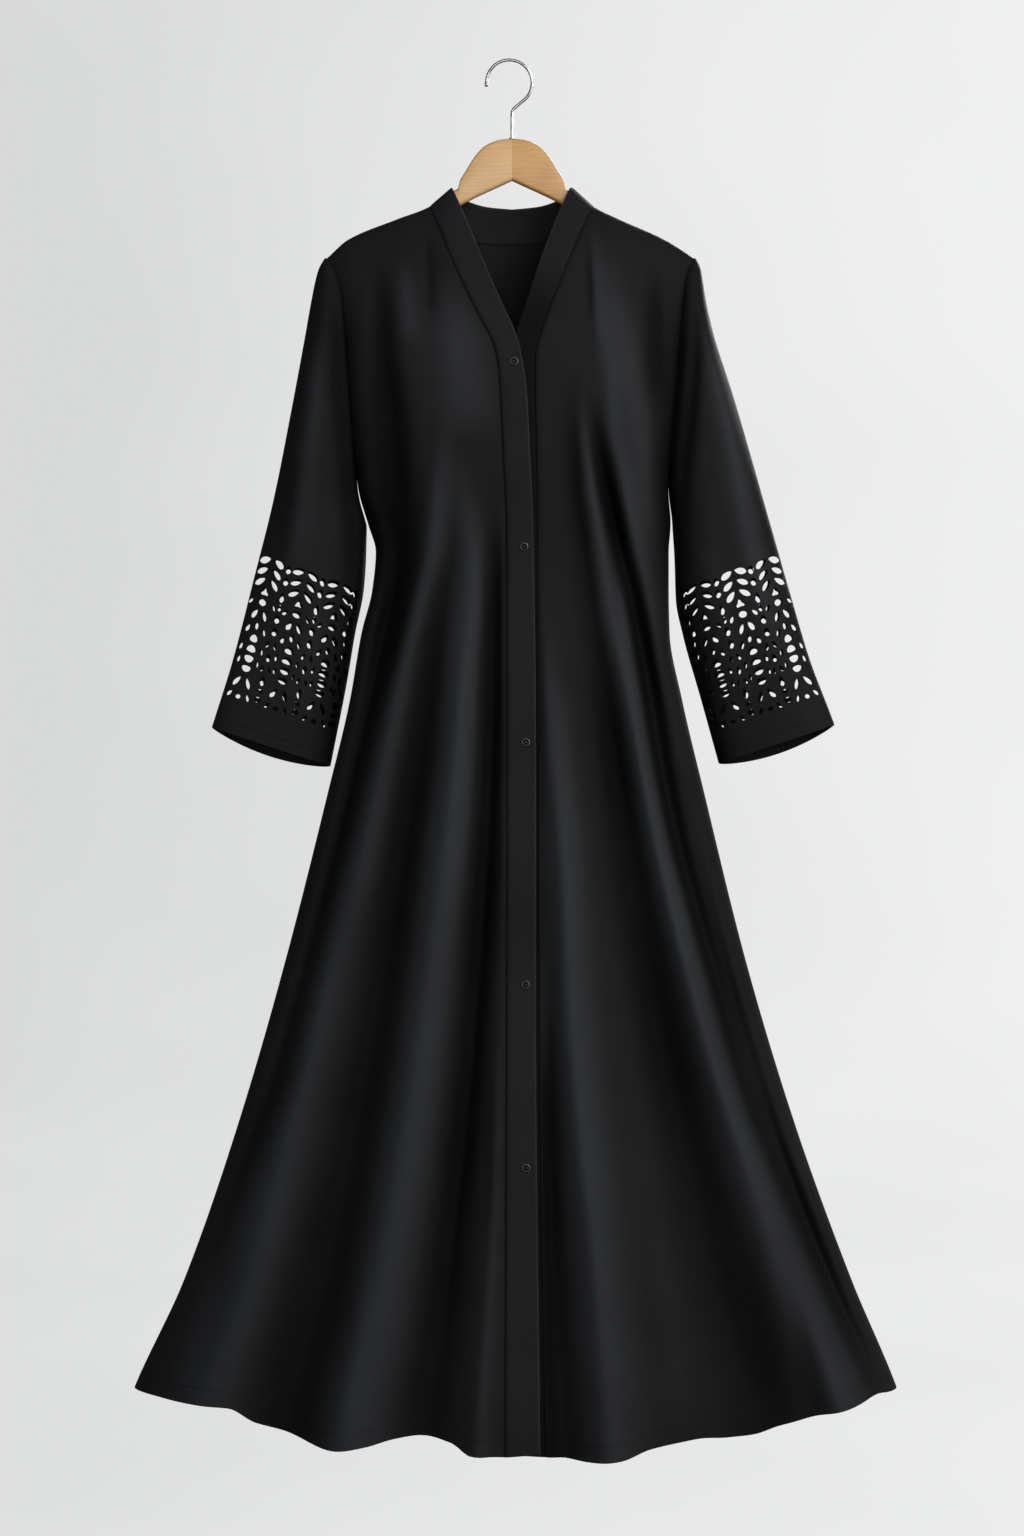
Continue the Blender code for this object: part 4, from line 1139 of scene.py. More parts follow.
STEM = (
    Cut("seed", 10, 0, 9, 6.6, 0), Cut("seed", 23, 0, 9, 6.6, 0),
    Cut("leaf", 41, 0, 11, 5.6, 0), Cut("seed", 65, 0, 9.5, 6.4, 0),
    Cut("seed", 79, 0, 9.5, 6.4, 0), Cut("leaf", 134, 0, 11, 5.6, 0),
    Cut("seed", 155, 0, 6, 8, 0), Cut("leaf", 94, 4.4, 8.5, 3.8, 20),
    Cut("seed", 108, 0, 9, 5, 0), Cut("leaf", 121, 4.2, 7.5, 3.4, 20),
    Cut("seed", 145.5, 0, 4.6, 6.5, 0), Cut("seed", 52.5, 0, 7, 4.4, 0),
)
print("rows of holes in a sprig:", len(SPRIG), "and in a stem:", len(STEM))

# %% The outlines of the holes
HOLE_POINTS = 20
LEAF_POINT, LEAF_BELLY = 0.3, 0.1
FLAT_SIDE = 0.28
BUD_LOBES, BUD_PULL = 3, 0.32


def hole_shape(kind):
    """Half-width across and place along of a hole, both as shares of its size."""
    along, across = ring_turns(HOLE_POINTS)
    if kind == "leaf":
        return across * np.abs(across) ** LEAF_POINT * (0.5 - LEAF_BELLY * along), along * 0.5
    if kind == "seed":
        return across * 0.5, along * 0.5
    if kind in ("dome", "bowl"):
        bulge = np.where(along > 0, (1 - FLAT_SIDE) * along, FLAT_SIDE * along) + FLAT_SIDE - 0.5
        return across * 0.5, bulge * (1 if kind == "dome" else -1)
    pull = 1 / (1 + BUD_PULL * np.cos(BUD_LOBES * np.arctan2(across, along)))
    return across * pull / np.ptp(across * pull), -along * pull / np.ptp(along * pull)


print("points round a hole:", HOLE_POINTS)

# %% Place on a sleeve, and of each hole
def sleeve_place(side, across, row):
    """Place in the front view for a share across the sleeve and a row, named by its inner z."""
    above = TIP_Z + (row - TIP_Z) * (UNDERARM_OUTER_Z - TIP_Z) / (UNDERARM_Z - TIP_Z)
    slope = (CUFF_OUTER_Z[side] - UNDERARM_OUTER_Z) / (CUFF_Z[side] - UNDERARM_Z)
    below = UNDERARM_OUTER_Z + (row - UNDERARM_Z) * slope
    outer_z = np.where(row > UNDERARM_Z, above, below)
    x = mix(outer_x[side](outer_z), sleeve_inner_x(side, row), across)
    return x, mix(outer_z, row, across)


def sleeve_width(side, row):
    return math.dist(sleeve_place(side, 0.0, row), sleeve_place(side, 1.0, row))


def cut_outline(side, column_share, cut, mirrored):
    """Points round one hole as (share across, row), from its size, lean and place in the band."""
    down = -BAND_TOP - cut.down
    lean = math.radians(cut.lean) * mirrored
    wide, tall = hole_shape(cut.shape)
    wide, tall = wide * cut.width, tall * cut.length
    along = wide * math.cos(lean) + tall * math.sin(lean)
    up = tall * math.cos(lean) - wide * math.sin(lean)
    return np.stack((column_share + (along - cut.aside * mirrored) / sleeve_width(side, down),
                     down + up), axis=-1)


print("sleeve above its cutwork is", round(sleeve_width(RIGHT, -BAND_TOP)), "mm wide")

# %% The cutwork of the front and back halves
# The two faces of a sleeve never lie quite over each other: each column of the back one sits a
# little further out and higher, and its lower holes have slipped down.
BACK_SHIFTS = (2.2, 4.5, 6.0, 6.0, 5.0, 6.0)
RIGHT_SLIP = 4.6
BACK_LIFT = 0.7
LIFT_ENDS = 200.0
SLIPS_AT = (0, 60, 75, 170)
BACK_SLIPS = ((0, 0, 0, 1.0), (4.0, 4.5, 6.0, 6.5), (1.0, 1.5, 4.0, 6.5), (5.5, 5.5, 6.0, 6.5),
              (5.0, 5.5, 5.75, 6.5), (6.0, 6.0, 6.0, 6.5))


def behind(side, number, share, cut):
    """Share and cut of the same hole in the back half."""
    lift = BACK_SHIFTS[number] * BACK_LIFT * (1 - cut.down / LIFT_ENDS)
    slip = float(np.interp(cut.down, SLIPS_AT, BACK_SLIPS[number]))
    if side == RIGHT and number:
        slip = max(slip, RIGHT_SLIP)
    share -= BACK_SHIFTS[number] / sleeve_width(side, -BAND_TOP - cut.down)
    return share, cut._replace(down=cut.down - lift + slip)


def cutwork(side, face):
    """Rings of points round every hole, laid out flat."""
    holes = []
    for number, column_share in enumerate(CUT_COLUMNS):
        for cut in (STEM if number % 2 else SPRIG):
            share = column_share
            if face == BACK:
                share, cut = behind(side, number, share, cut)
            for mirrored in ((1, -1) if cut.aside else (1,)):
                holes.append(cut_outline(side, share, cut, mirrored) * (SLEEVE_SPAN, 1.0))
    return holes


print("holes in one face of a sleeve:", len(cutwork(RIGHT, FRONT)))

# %% Tests for points and holes
def within(ring, places):
    """Whether each place lies inside a ring of points."""
    hit = np.zeros(len(places), bool)
    for (ax, ay), (bx, by) in zip(ring, np.roll(ring, -1, axis=0)):
        spans = (ay > places[:, 1]) != (by > places[:, 1])
        rise = by - ay if by != ay else 1.0
        hit ^= spans & (places[:, 0] < ax + (bx - ax) * (places[:, 1] - ay) / rise)
    return hit


def near_ring(ring, places, reach):
    apart = np.linalg.norm(places[:, None, :] - ring[None, :, :], axis=-1).min(axis=1)
    return apart < reach


print("a place inside a square:", within(np.array([[0, 0], [1, 0], [1, 1], [0, 1.0]]),
                                         np.array([[0.5, 0.5]])))

# %% Lay a sleeve half out flat
SLEEVE_COLUMNS = 27
SLEEVE_ROW_STEP = 5.4
SLEEVE_BUNCHING = 0.75
CUFF_FULLNESS = 0.7
CUFF_EDGE = 1.2


def cuff_row(side, face, share):
    """Row of the cuff's edge, which hangs lower at the back."""
    drop = BACK_CUFF_DROP if face == BACK else 0.0
    return CUFF_Z[side] - drop * np.sin(math.pi * share) ** CUFF_FULLNESS


def sleeve_rows(side, cuff):
    """Rows down a sleeve column, from the shoulder to the cuff's edge."""
    count = int((crest_rows[-1] - CUFF_Z[side]) / SLEEVE_ROW_STEP)
    below = np.linspace(crest_rows[-1], cuff, count + 1)[1:-1]
    return np.concatenate((crest_rows, below, (cuff + CUFF_EDGE, cuff)))


def flat_sleeve(side, face):
    """Points round the edge of half a sleeve and inside it, laid out flat."""
    even = np.linspace(0, 1, SLEEVE_COLUMNS)
    shares = mix(even, (1 - np.cos(math.pi * even)) / 2, SLEEVE_BUNCHING)
    columns = [[(share * SLEEVE_SPAN, row) for row in sleeve_rows(side, cuff_row(side, face, share))]
               for share in shares]
    ring = columns[0] + [places[-1] for places in columns[1:-1]]
    ring += columns[-1][::-1] + [places[0] for places in columns[-2:0:-1]]
    return np.array(ring), np.array([place for places in columns[1:-1] for place in places[1:-1]])


print("points in a flat sleeve half:", [len(points) for points in flat_sleeve(RIGHT, FRONT)])

# %% Cut the holes out of a flat sheet
HOLE_CLEAR = 1.7
WELD = 1e-5


def pierced(ring, inner, holes):
    """Points and triangles of a flat sheet, joined so that its edge and its holes are kept."""
    for hole in holes:
        inner = inner[~(within(hole, inner) | near_ring(hole, inner, HOLE_CLEAR))]
    edges, first = [], 0
    for loop in (ring, *holes):
        edges += [(first + i, first + (i + 1) % len(loop)) for i in range(len(loop))]
        first += len(loop)
    points = np.concatenate((ring, *holes, inner))
    corners, _, triangles, *_ = delaunay_2d_cdt(points.tolist(), edges, [], 0, WELD)
    corners, triangles = np.array([tuple(c) for c in corners]), np.array(triangles)
    middles = corners[triangles].mean(axis=1)
    kept = within(ring, middles)
    for hole in holes:
        kept &= ~within(hole, middles)
    return corners, triangles[kept]


print("cutting helper ready")

# %% Make the four sleeve halves
def make_sleeve(side, face):
    name = sleeve_name(side, face)
    flat, triangles = pierced(*flat_sleeve(side, face), cutwork(side, face))
    used, triangles = np.unique(triangles, return_inverse=True)
    triangles = triangles.reshape(-1, 3).tolist()
    x, z = sleeve_place(side, flat[used, 0] / SLEEVE_SPAN, flat[used, 1])
    folds = sleeve_folds(side, face)
    points, out = middle_surface(face, sleeve_square(side, face), folds, x, z)
    # Painted shade for the crepe's colour: dark in fold valleys and beside the armhole.
    painted_shades = fold_painted_shade(folds(x, z), z, np.abs(sleeve_inner_x(side, z) - x))
    cloth = cloth_wall(name.replace("sleeve", "sleeve_cloth"), points, out, triangles, CLOTH, painted_shades)
    return attach(cloth, "crepe", crepe, name)


sleeves = {(side, face): make_sleeve(side, face) for side in (RIGHT, LEFT) for face in (FRONT, BACK)}
print("sleeve faces:", {key: len(half.data.polygons) for key, half in sleeves.items()})

# %% [markdown]
# ## Hem and cuff stitches
#
# A hem is turned up and caught with a row of small stitches a thumb's breadth above the edge. Each
# stitch is a short thread segment that lies on the cloth, and a whole row is one joined mesh.

# %% A thread laid along a line
STITCH = 3.0
STITCH_GAP = 1.0
THREAD = 0.45
THREAD_SIDES = 6
# Along a stitch: share of its length, then thickness and rise as shares of the thread's own.
STITCH_RINGS = ((0, 0.45, -0.24), (0.2, 1, 0.6), (0.8, 1, 0.6), (1, 0.45, -0.24))


def walk(line, rows, step):
    """Read rows that go with the points of a line at even steps along it."""
    lengths = np.concatenate(([0], np.cumsum(np.linalg.norm(np.diff(line, axis=0), axis=1))))
    at = np.arange(0, lengths[-1], step)
    return np.stack([np.interp(at, lengths, rows[:, k]) for k in range(3)], -1)


def stitch_row(face, square, folds, x, z):
    """Rings of points of a row of stitches, which stand half a thread out of the cloth."""
    middle, ways = middle_surface(face, square, folds, x, z)
    line = middle + ways * CLOTH / 2
    starts, outs = (walk(line, rows, STITCH + STITCH_GAP) for rows in (line, ways))
    cosines, sines = (turns[:, None] for turns in ring_turns(THREAD_SIDES))
    stitches = []
    for a, b, out in zip(starts[:-1], starts[1:], outs[:-1]):
        along = (b - a) * STITCH / (STITCH + STITCH_GAP)
        spokes = cosines * unit(np.cross(along, out)) + sines * out
        stitches.append(np.concatenate([a + along * part + out * THREAD * rise + spokes * THREAD * thick / 2
                                        for part, thick, rise in STITCH_RINGS]))
    return stitches


def make_stitches(name, rows):
    stitches = [stitch for row in rows for stitch in row]
    one = ring_faces(len(STITCH_RINGS), THREAD_SIDES)
    faces = [tuple(i + number * len(stitch) for i in face)
             for number, stitch in enumerate(stitches) for face in one]
    return attach(link_mesh(name, np.concatenate(stitches), faces, THREAD_SMOOTH), "crepe", black_thread)


print("stitches are", STITCH, "mm long")

# %% Stitch the hem and the cuffs
HEM_ALLOWANCE = 18.0
CUFF_ALLOWANCE = 12.0
HEM_SAMPLES, CUFF_SAMPLES = 260, 65
FRONT_ENDS = 0.01, 0.985
BACK_ENDS = 0.01, 0.99
CUFF_ENDS = 0.03, 0.97


def hem_rows():
    rows = []
    for side in (RIGHT, LEFT):
        x, z = front_place(side, np.linspace(*FRONT_ENDS, HEM_SAMPLES), SIDE_HEM_Z)
        rows.append(stitch_row(FRONT, body_square(FRONT), body_folds(FRONT), x, z + HEM_ALLOWANCE))
    across = np.linspace(*BACK_ENDS, HEM_SAMPLES)
    x = mix(side_x[RIGHT](SIDE_HEM_Z), side_x[LEFT](SIDE_HEM_Z), across)
    z = SIDE_HEM_Z + back_hem_drop(across) + HEM_ALLOWANCE
    rows.append(stitch_row(BACK, body_square(BACK), body_folds(BACK), x, z))
    return rows


def cuff_rows(side):
    rows = []
    for face in (FRONT, BACK):
        share = np.linspace(*CUFF_ENDS, CUFF_SAMPLES)
        x, z = sleeve_place(side, share, cuff_row(side, face, share) + CUFF_ALLOWANCE)
        rows.append(stitch_row(face, sleeve_square(side, face), sleeve_folds(side, face), x, z))
    return rows


hem_stitches = make_stitches("hem_stitches", hem_rows())
cuff_stitches = {side: make_stitches("cuff_stitches_" + side, cuff_rows(side)) for side in (RIGHT, LEFT)}
stitch_faces = len(ring_faces(len(STITCH_RINGS), THREAD_SIDES))
print("hem stitches:", len(hem_stitches.data.polygons) // stitch_faces)
print("cuff stitches:", [len(row.data.polygons) // stitch_faces for row in cuff_stitches.values()])

# %% [markdown]
# ## Ring snaps
#
# The placket closes with small ring snaps of dark metal. A snap is round, so its half profile is
# turned about the direction that faces out of the band: a thin flange, a raised ring and a
# sunken middle with a low stud. The ring and the stud are painted bright, as a highlight.

# %% Metal for the snaps: blackened metal, and a copy painted bright as the ring's highlight
SNAP_MARKS = {"marks_per_metre": 1500.0, "reach": 7.0, "depth": 0.00003}


def make_scratched_metal(name, plain, worn, smooth, rough, marks_per_metre, reach, depth):
    """Metal that is paler or duller, and rougher, where it is scratched."""
    material, tree, shader = new_finish(name, Metallic=1.0)
    marks = placed(tree, fine_scratches, Marks_per_metre=marks_per_metre, Reach=reach).outputs["Mask"]
    coloured(tree, shader, marks, (0.0, plain), (0.6, worn))
    roughened(tree, shader, marks, (0.0, smooth), (0.7, rough))
    bumped(tree, shader, marks, depth)
    return material


snap_black = make_scratched_metal("black_snap_metal", plain=(0.008, 0.008, 0.00832),
                                  worn=(0.03, 0.03, 0.0306), smooth=0.45, rough=0.63, **SNAP_MARKS)
# A brighter copy of the metal, painted as the highlight on the ring and the stud.
snap_painted_highlight = make_scratched_metal("snap_metal_painted_highlight", plain=(0.13, 0.13, 0.1352),
                                   worn=(0.2, 0.2, 0.204), smooth=0.38, rough=0.56, **SNAP_MARKS)
print("finishes:", snap_black.name, snap_painted_highlight.name)

# %% Turn the snaps
BUTTON_LINE = 0.7
BUTTON_Z = (-342, -547, -763, -1029, -1228)
SNAP_PROFILE = ((5.0, 0.05), (5.15, 0.35), (4.95, 0.62), (4.75, 0.7), (4.6, 1.2), (4.2, 1.62), (3.75, 1.72),
                (3.3, 1.6), (2.95, 1.15), (2.75, 0.55), (2.2, 0.42), (1.7, 0.42), (1.45, 0.8), (1.0, 0.98),
                (0.4, 1.04))
SNAP_SIDES = 36
# Faces of the ring between these radii, and of the stud, take the painted highlight.
RING_INSIDE, RING_OUTSIDE, STUD = 4.1, 4.7, 1.1
BAND_FRONT_Y = -1.0


def snap_seat(height):
    """Place on the outer face of the overlapping band, and the way out of it."""
    _, points, out = bands[RIGHT]
    nearest = int(np.argmin(np.abs(np.array(BAND_SHARES) - BUTTON_LINE)))
    line, ways = points[nearest::len(BAND_SHARES)], out[nearest::len(BAND_SHARES)]
    front = [i for i in np.argsort(line[:, 2]) if line[i, 1] < BAND_FRONT_Y]
    place, way = (np.array([np.interp(height, line[front, 2], rows[front, k]) for k in range(3)])
                  for rows in (line, ways))
    return place + unit(way) * BAND_CLOTH / 2, unit(way)


def make_snap(number, height):
    base, way = snap_seat(height)
    beside = unit(np.cross(way, (0, 0, 1.0)))
    cosines, sines = (turns[:, None] for turns in ring_turns(SNAP_SIDES))
    spokes = cosines * beside + sines * np.cross(way, beside)
    points = np.concatenate([base + way * rise + spokes * radius for radius, rise in SNAP_PROFILE])
    faces = ring_faces(len(SNAP_PROFILE), SNAP_SIDES)
    snap = attach(link_mesh("ring_snap_%d" % number, points, faces, HARD_SMOOTH), "snap", snap_black,
                  "button_%d" % number)
    # Faces on the ring and the stud take the metal painted bright as a highlight.
    snap.data.materials.append(snap_painted_highlight)
    for face in snap.data.polygons:
        middle = np.linalg.norm(np.array(face.center) / MM - base)
        face.material_index = int(RING_INSIDE < middle < RING_OUTSIDE or middle < STUD)
    return snap


snaps = [make_snap(number + 1, height) for number, height in enumerate(BUTTON_Z)]
print("snaps:", [snap.name for snap in snaps])

# %% [markdown]
# ## The wooden hanger
#
# The bar is two lengths of pale beech that meet at the hook. Each is a row of rounded sections: high
# at the crown, then thin and arched where the cloth lies over it. Its grain runs along the bar. The
# wearer's right piece is painted paler, as lit, and the left darker and redder, as painted shade.

# %% Beech, as a painted lit and a painted shaded copy
def make_beech(name, pale, brown):
    material, tree, shader = new_finish(name, Coat_Weight=0.12, Coat_Roughness=0.3)
    patches = placed(tree, soft_patches, Patches_per_metre=22.0, Contrast=1.8)
    rings = node(tree, "TexWave", wave_type="BANDS", bands_direction="Z", Scale=44.0, Distortion=9.0,
                 Detail=3.0)
    rings.inputs["Detail Scale"].default_value = 1.2
    tree.links.new(stretched(tree, 0.35, 1.0, 1.6), rings.inputs["Vector"])
    pores = node(tree, "TexNoise", Scale=900.0, Detail=2.0)
    tree.links.new(stretched(tree, 0.06, 1.0, 1.0), pores.inputs["Vector"])
    grain = math_node(tree, "MULTIPLY", rings.outputs["Fac"], 0.3)
    grain = math_node(tree, "ADD", grain, math_node(tree, "MULTIPLY", patches.outputs["Mask"], 0.7))
    middle = tuple(mix(p, b, 0.45) for p, b in zip(pale, brown))
    coloured(tree, shader, grain, (0.15, pale), (0.55, middle), (0.95, brown))
    roughened(tree, shader, pores.outputs["Fac"], (0.3, 0.36), (0.7, 0.5))
    bumped(tree, shader, math_node(tree, "ADD", pores.outputs["Fac"], rings.outputs["Fac"]), 0.00012, 0.4)
    return material


# One beech in two copies: the right arm's is painted lit, and the left arm's is painted in shade.
beech = {
    RIGHT: make_beech("beech_painted_lit", (0.90, 0.57, 0.27), (0.76, 0.45, 0.20)),
    LEFT: make_beech("beech_painted_shade", (0.80, 0.45, 0.17), (0.62, 0.32, 0.115)),
}
print("finishes:", [board.name for board in beech.values()])

# %% Shape of the bar
HANGER_THICK = 12.0
HANGER_REACH = 186.0
HANGER_CLEAR = 1.5
HANGER_CLEAR_AT_NECK = 3.5
HANGER_END = 0.7
CROWN = ((0, -86.8), (8, -87.1), (16, -88.5), (23, -91.0), (30, -94.6), (37, -101.0), (44, -110.0),
         (51, -121.5), (58, -132.5))
UNDERSIDE = ((0, -133.8), (60, -163), (92, -187), (130, -203), (165, -216), (186, -223))
HANGER_STEP = 2.5
HANGER_SIDES = 28
HANGER_SQUARE = 2.6
END_ROUND = 3.0
END_STEPS = (3, 1.6, 0.7, 0)
NECK_EASE = 6.0


def hanger_stations():
    crown_ends = CROWN[-1][0]
    return np.concatenate((np.arange(0, crown_ends, HANGER_STEP),
                           np.arange(crown_ends, HANGER_REACH - END_ROUND, HANGER_STEP),
                           HANGER_REACH - np.array(END_STEPS)))


def bar_top(side, x):
    """The crown near the hook, then just under the cloth."""
    clear = mix(HANGER_CLEAR_AT_NECK, HANGER_CLEAR, ease((x - abs(NECK_X[side])) / NECK_EASE))
    under_cloth = crest(OUTWARD[side] * x) - CLOTH / 2 - clear
    return np.where(x <= CROWN[-1][0], smooth_line(CROWN)(x), under_cloth)


print("bar is", round(bar_top(RIGHT, 0.0) - float(smooth_line(UNDERSIDE)(0.0))), "mm deep at the hook")

# %% Make the two arms
LEVEL = 1e-9


def make_arm(side):
    wide, tall = (np.sign(turns) * np.abs(turns) ** (2 / HANGER_SQUARE) for turns in ring_turns(HANGER_SIDES))
    level = np.abs(tall) < LEVEL
    stations = hanger_stations()
    points = []
    for x, top, low in zip(stations, bar_top(side, stations), smooth_line(UNDERSIDE)(stations)):
        keep = mix(HANGER_END, 1, round_end((HANGER_REACH - x) / END_ROUND))
        half_high = (top - low) / 2
        shape = np.maximum(1 - (1 - np.abs(tall)) * min(1, HANGER_THICK / half_high / 2), 0)
        z = (top + low) / 2 + np.where(level, 0, np.sign(tall) * shape) * half_high * keep
        y = wide * HANGER_THICK / 2 * keep
        points.append(np.stack((np.full(HANGER_SIDES, OUTWARD[side] * x), y, z), -1))
    faces = ring_faces(len(stations), HANGER_SIDES)
    bar = link_mesh("beech_arm_" + side, np.concatenate(points), faces, HARD_SMOOTH)
    return attach(bar, "beech", beech[side], "hanger_arm_" + side)


arms = {side: make_arm(side) for side in (RIGHT, LEFT)}
print("arm faces:", {side: len(arm.data.polygons) for side, arm in arms.items()})

# %% [markdown]
# ## The hook
#
# The hook is one bright wire. A curve would do, but a mesh tube lets the ends be shaped: the stem
# goes into a small washer on the crown, and the free tip ends in a rounded bead.

# %% Bright wire
bright_wire = make_scratched_metal("bright_wire", plain=(0.62, 0.63, 0.65), worn=(0.48, 0.49, 0.51),
                                   smooth=0.14, rough=0.36, marks_per_metre=700.0, reach=8.0,
                                   depth=0.00002)
print("finish:", bright_wire.name)

# %% Bend the hook
WIRE = 3.4
HOOK_RADIUS = 25.5
HOOK_CENTRE_X = -3.0
# The washer's and the bead's half profiles: height above the crown or below the loop, and radius.
WASHER = ((0, 3.4), (0.9, 3.4), (1.3, 2.9), (1.5, WIRE / 2))
BEAD = ((0.6, 1.725), (1.2, 2.116), (2.2, 2.3), (3.3, 2.162), (4.0, 1.725), (4.4, 0.92))
STEM_FOOT, STEM_TOP_Z, STEM_RINGS = 4.0, -59.0, 6
STEM_BEND = ((0.25, -56.4), (1.6, -53.3))
BENDS = range(-57, 181, 5)
WIRE_SIDES = 20


def hook_route():
    """Centre line from the crown to the tip, with the wire's radius at each point."""
    centre_z = WIRE / 2 - HOOK_RADIUS
    foot = CROWN[0][1] - SEWN
    route = [(0, foot + up, radius) for up, radius in WASHER]
    route += [(0, z, WIRE / 2) for z in np.linspace(foot + STEM_FOOT, STEM_TOP_Z, STEM_RINGS)]
    route += [(x, z, WIRE / 2) for x, z in STEM_BEND]
    for angle in np.radians(BENDS):
        route.append((HOOK_CENTRE_X + HOOK_RADIUS * math.cos(angle),
                      centre_z + HOOK_RADIUS * math.sin(angle), WIRE / 2))
    route += [(HOOK_CENTRE_X - HOOK_RADIUS, centre_z - down, radius) for down, radius in BEAD]
    return np.array(route, float)


def make_hook():
    route = hook_route()
    cosines, sines = ring_turns(WIRE_SIDES)
    points = []
    for (x, z, radius), (ahead_x, ahead_z) in zip(route, unit(np.gradient(route[:, :2], axis=0))):
        points.append(np.stack((x - ahead_z * cosines * radius, sines * radius,
                                z + ahead_x * cosines * radius), -1))
    faces = ring_faces(len(route), WIRE_SIDES)
    wire = link_mesh("wire_hook", np.concatenate(points), faces, HARD_SMOOTH)
    return attach(wire, "wire", bright_wire, "hook")


hook = make_hook()
print("hook faces:", len(hook.data.polygons))

# %% [markdown]
# ## What each sheet was cut to
#
# The sheets are listed with the flat size of their cut in metres, so that anyone who reuses the
# part knows how much cloth it takes. A cut that is an A has less area than its width times length.

Cutting = namedtuple("Cutting", "piece width length area rests_on")


def cuttings():
    rows = [Cutting(back, 1.06, 1.40, 0.80, ["hanger_arm_right", "hanger_arm_left"])]
    for side, width, area in ((RIGHT, 0.53, 0.40), (LEFT, 0.49, 0.385)):
        arm = "hanger_arm_" + side
        rows.append(Cutting(fronts[side], width, 1.41, area, [arm]))
        rows.append(Cutting(bands[side][0], 0.037, 1.53, 0.05, [arm]))
        for face in (FRONT, BACK):
            rows.append(Cutting(sleeves[side, face], 0.19, 0.59, 0.066, [arm]))
    return rows


for cutting in cuttings():
    print(cutting.piece.name, "flat", cutting.width, "x", cutting.length, "m")

# %% [markdown]
# ## Studio
#
# A pale bowl, floor and wall in one, gives a plain ground from every side. Black cloth shows its
# form only by what it reflects, and a pale room all round would wash its folds out. So the bowl
# glows for the camera alone, and the cloth is lit by large soft lights: the main one from high on
# the wearer's left, weaker ones in front and to both sides, and a strong one behind for the back.

# %% Floor and wall
FLOOR_Z = -2.0
BOWL_MIDDLE = 0.02
BOWL_FLAT = 7.0
BOWL_SWEEP = 2.6
BOWL_TOP = 7.5
BOWL_SIDES = 96
BOWL_ARC_STEPS = 16
PAPER_DIM, PAPER_BRIGHT = (0.68, 0.685, 0.69), (0.86, 0.865, 0.87)


def make_paper():
    """Paper that glows a little brighter towards +X, where the window would be."""
    material, tree, shader = new_finish("studio_paper", Roughness=0.9, Specular_IOR_Level=0.0,
                                        Emission_Strength=1.0)
    shader.inputs["Base Color"].default_value = (0.02, 0.02, 0.02, 1)
    patches = placed(tree, soft_patches, Patches_per_metre=0.5, Contrast=0.5)
    across = node(tree, "SeparateXYZ")
    tree.links.new(stretched(tree, 0.22, 1.0, 1.0), across.inputs["Vector"])
    tone = math_node(tree, "ADD", across.outputs["X"], patches.outputs["Mask"])
    tree.links.new(ramp(tree, tone, (0.1, PAPER_DIM), (0.9, PAPER_BRIGHT)),
                   shader.inputs["Emission Color"])
    return material


def make_bowl():
    profile = [(BOWL_MIDDLE, 0.0), (BOWL_FLAT / 2, 0.0)]
    for angle in np.linspace(0, math.pi / 2, BOWL_ARC_STEPS + 1):
        profile.append((BOWL_FLAT + BOWL_SWEEP * math.sin(angle), BOWL_SWEEP * (1 - math.cos(angle))))
    profile.append((BOWL_FLAT + BOWL_SWEEP, BOWL_TOP))
    points = [(radius * cosine, radius * sine, FLOOR_Z + rise)
              for radius, rise in profile for cosine, sine in zip(*ring_turns(BOWL_SIDES))]
    floor, _, *walls = ring_faces(len(profile), BOWL_SIDES)
    mesh = bpy.data.meshes.new("studio_bowl")
    mesh.from_pydata(points, [], [floor, *walls])
    mesh.shade_smooth()
    bowl = linked("studio_bowl", mesh)
    bowl.visible_diffuse = False
    bowl.visible_glossy = False
    mesh.materials.append(make_paper())
    return bowl


bowl = make_bowl()
print("bowl is", 2 * (BOWL_FLAT + BOWL_SWEEP), "m across")

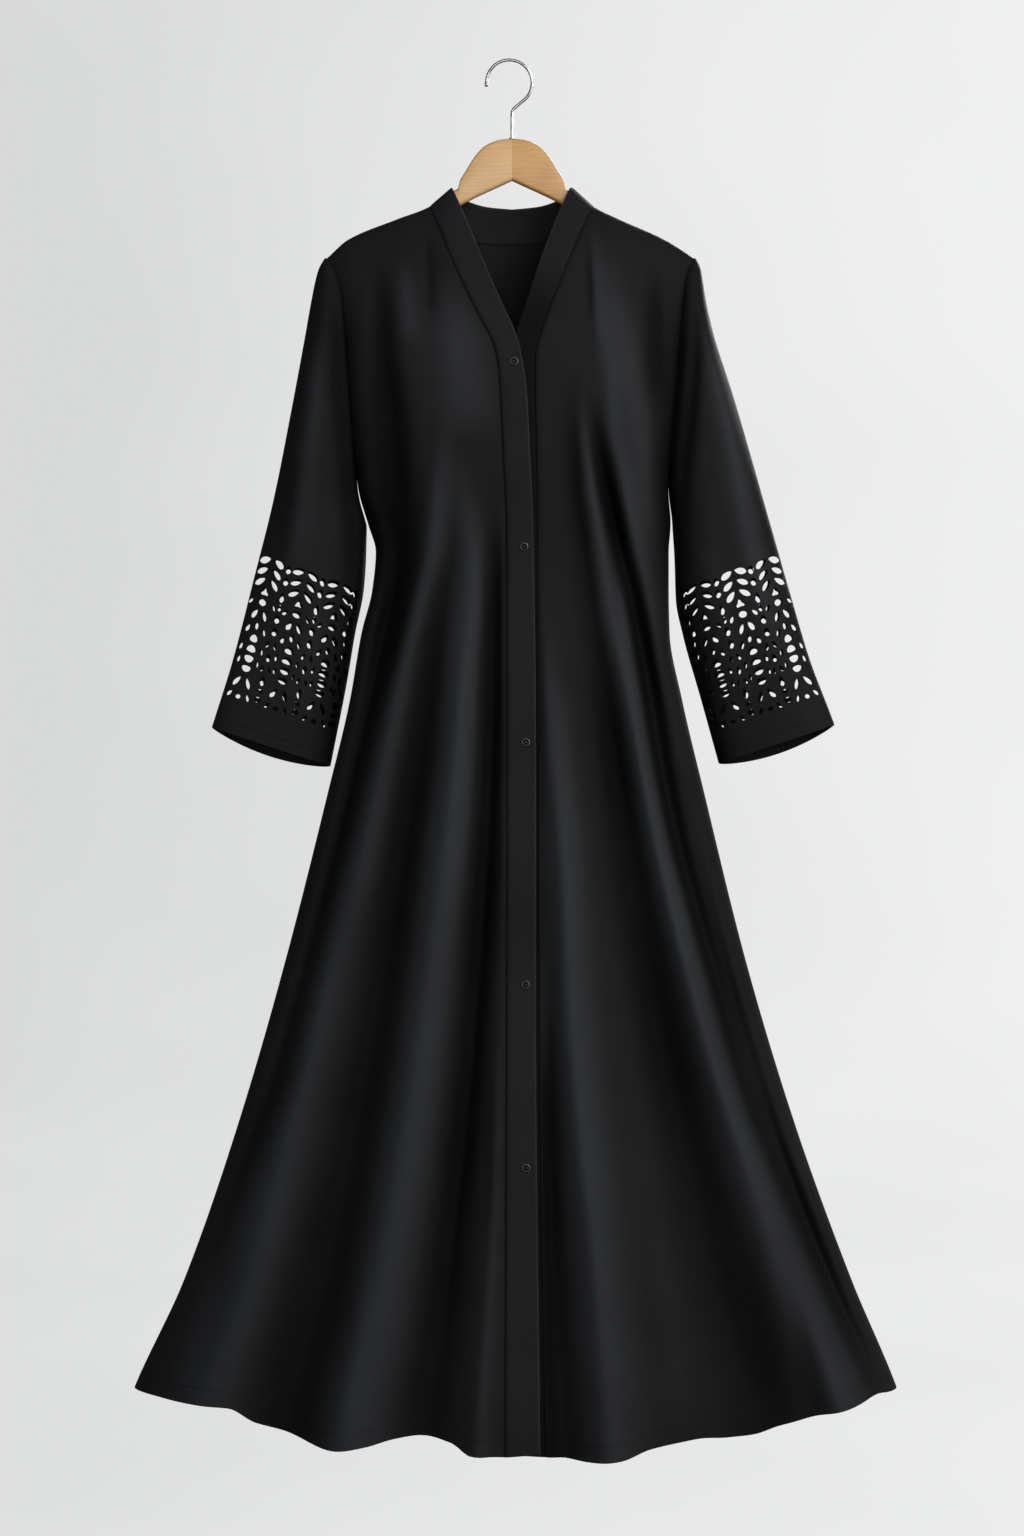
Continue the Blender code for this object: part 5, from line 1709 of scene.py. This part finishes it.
# %% Lights
Light = namedtuple("Light", "name place width height watts colour")
LIGHTS = (
    Light("key", (2.7, -3.7, 1.7), 2.0, 2.2, 115, (1.0, 0.99, 0.97)),
    Light("front", (0.1, -5.0, -0.1), 2.0, 2.2, 50, (1.0, 1.0, 1.0)),
    Light("side_right", (-4.1, -2.9, -0.4), 2.0, 2.2, 20, (0.96, 0.98, 1.0)),
    Light("side_left", (4.4, -2.2, -0.4), 2.0, 2.2, 50, (1.0, 0.99, 0.98)),
    Light("rear", (1.6, 4.4, 1.4), 2.4, 2.4, 170, (1.0, 1.0, 1.0)),
)
LIGHTS_AIM = (0, 0, -0.8)


def make_light(row):
    from_aim = mathutils.Vector(row.place) - mathutils.Vector(LIGHTS_AIM)
    lamp = bpy.data.lights.new(row.name, "AREA")
    lamp.shape = "RECTANGLE"
    lamp.size, lamp.size_y = row.width, row.height
    lamp.energy = row.watts
    lamp.color = row.colour
    light = linked(row.name, lamp)
    light.location = row.place
    light.rotation_euler = from_aim.to_track_quat("Z", "Y").to_euler()
    light.visible_camera = False
    return light


lights = [make_light(row) for row in LIGHTS]
print("lights:", [light.name for light in lights])

# %% World
WORLD_COLOUR = (0.93, 0.96, 1.0)
WORLD_STRENGTH = 0.05

world = bpy.data.worlds.new("soft_sky")
world.use_nodes = True
sky = world.node_tree.nodes["Background"]
sky.inputs["Color"].default_value = (*WORLD_COLOUR, 1)
sky.inputs["Strength"].default_value = WORLD_STRENGTH
bpy.context.scene.world = world
bpy.context.scene.view_settings.view_transform = "Standard"
print("world:", world.name)

# %% Camera: straight at the middle of the garment, from far enough to flatten it
CAMERA_AWAY = 4.2
VIEW_HIGH = 1.7203
VIEW_MIDDLE_Z = -0.7913
SENSOR = 36.0
CLIP_END = 100.0


def make_camera():
    lens = bpy.data.cameras.new("camera")
    lens.sensor_fit = "VERTICAL"
    lens.sensor_width = SENSOR
    lens.sensor_height = SENSOR
    lens.lens = SENSOR * CAMERA_AWAY / VIEW_HIGH
    lens.clip_end = CLIP_END
    camera = linked("camera", lens)
    camera.location = (0, -CAMERA_AWAY, VIEW_MIDDLE_Z)
    camera.rotation_euler = (math.pi / 2, 0, 0)
    bpy.context.scene.camera = camera
    return camera


camera = make_camera()
print("lens:", round(camera.data.lens, 1), "mm")
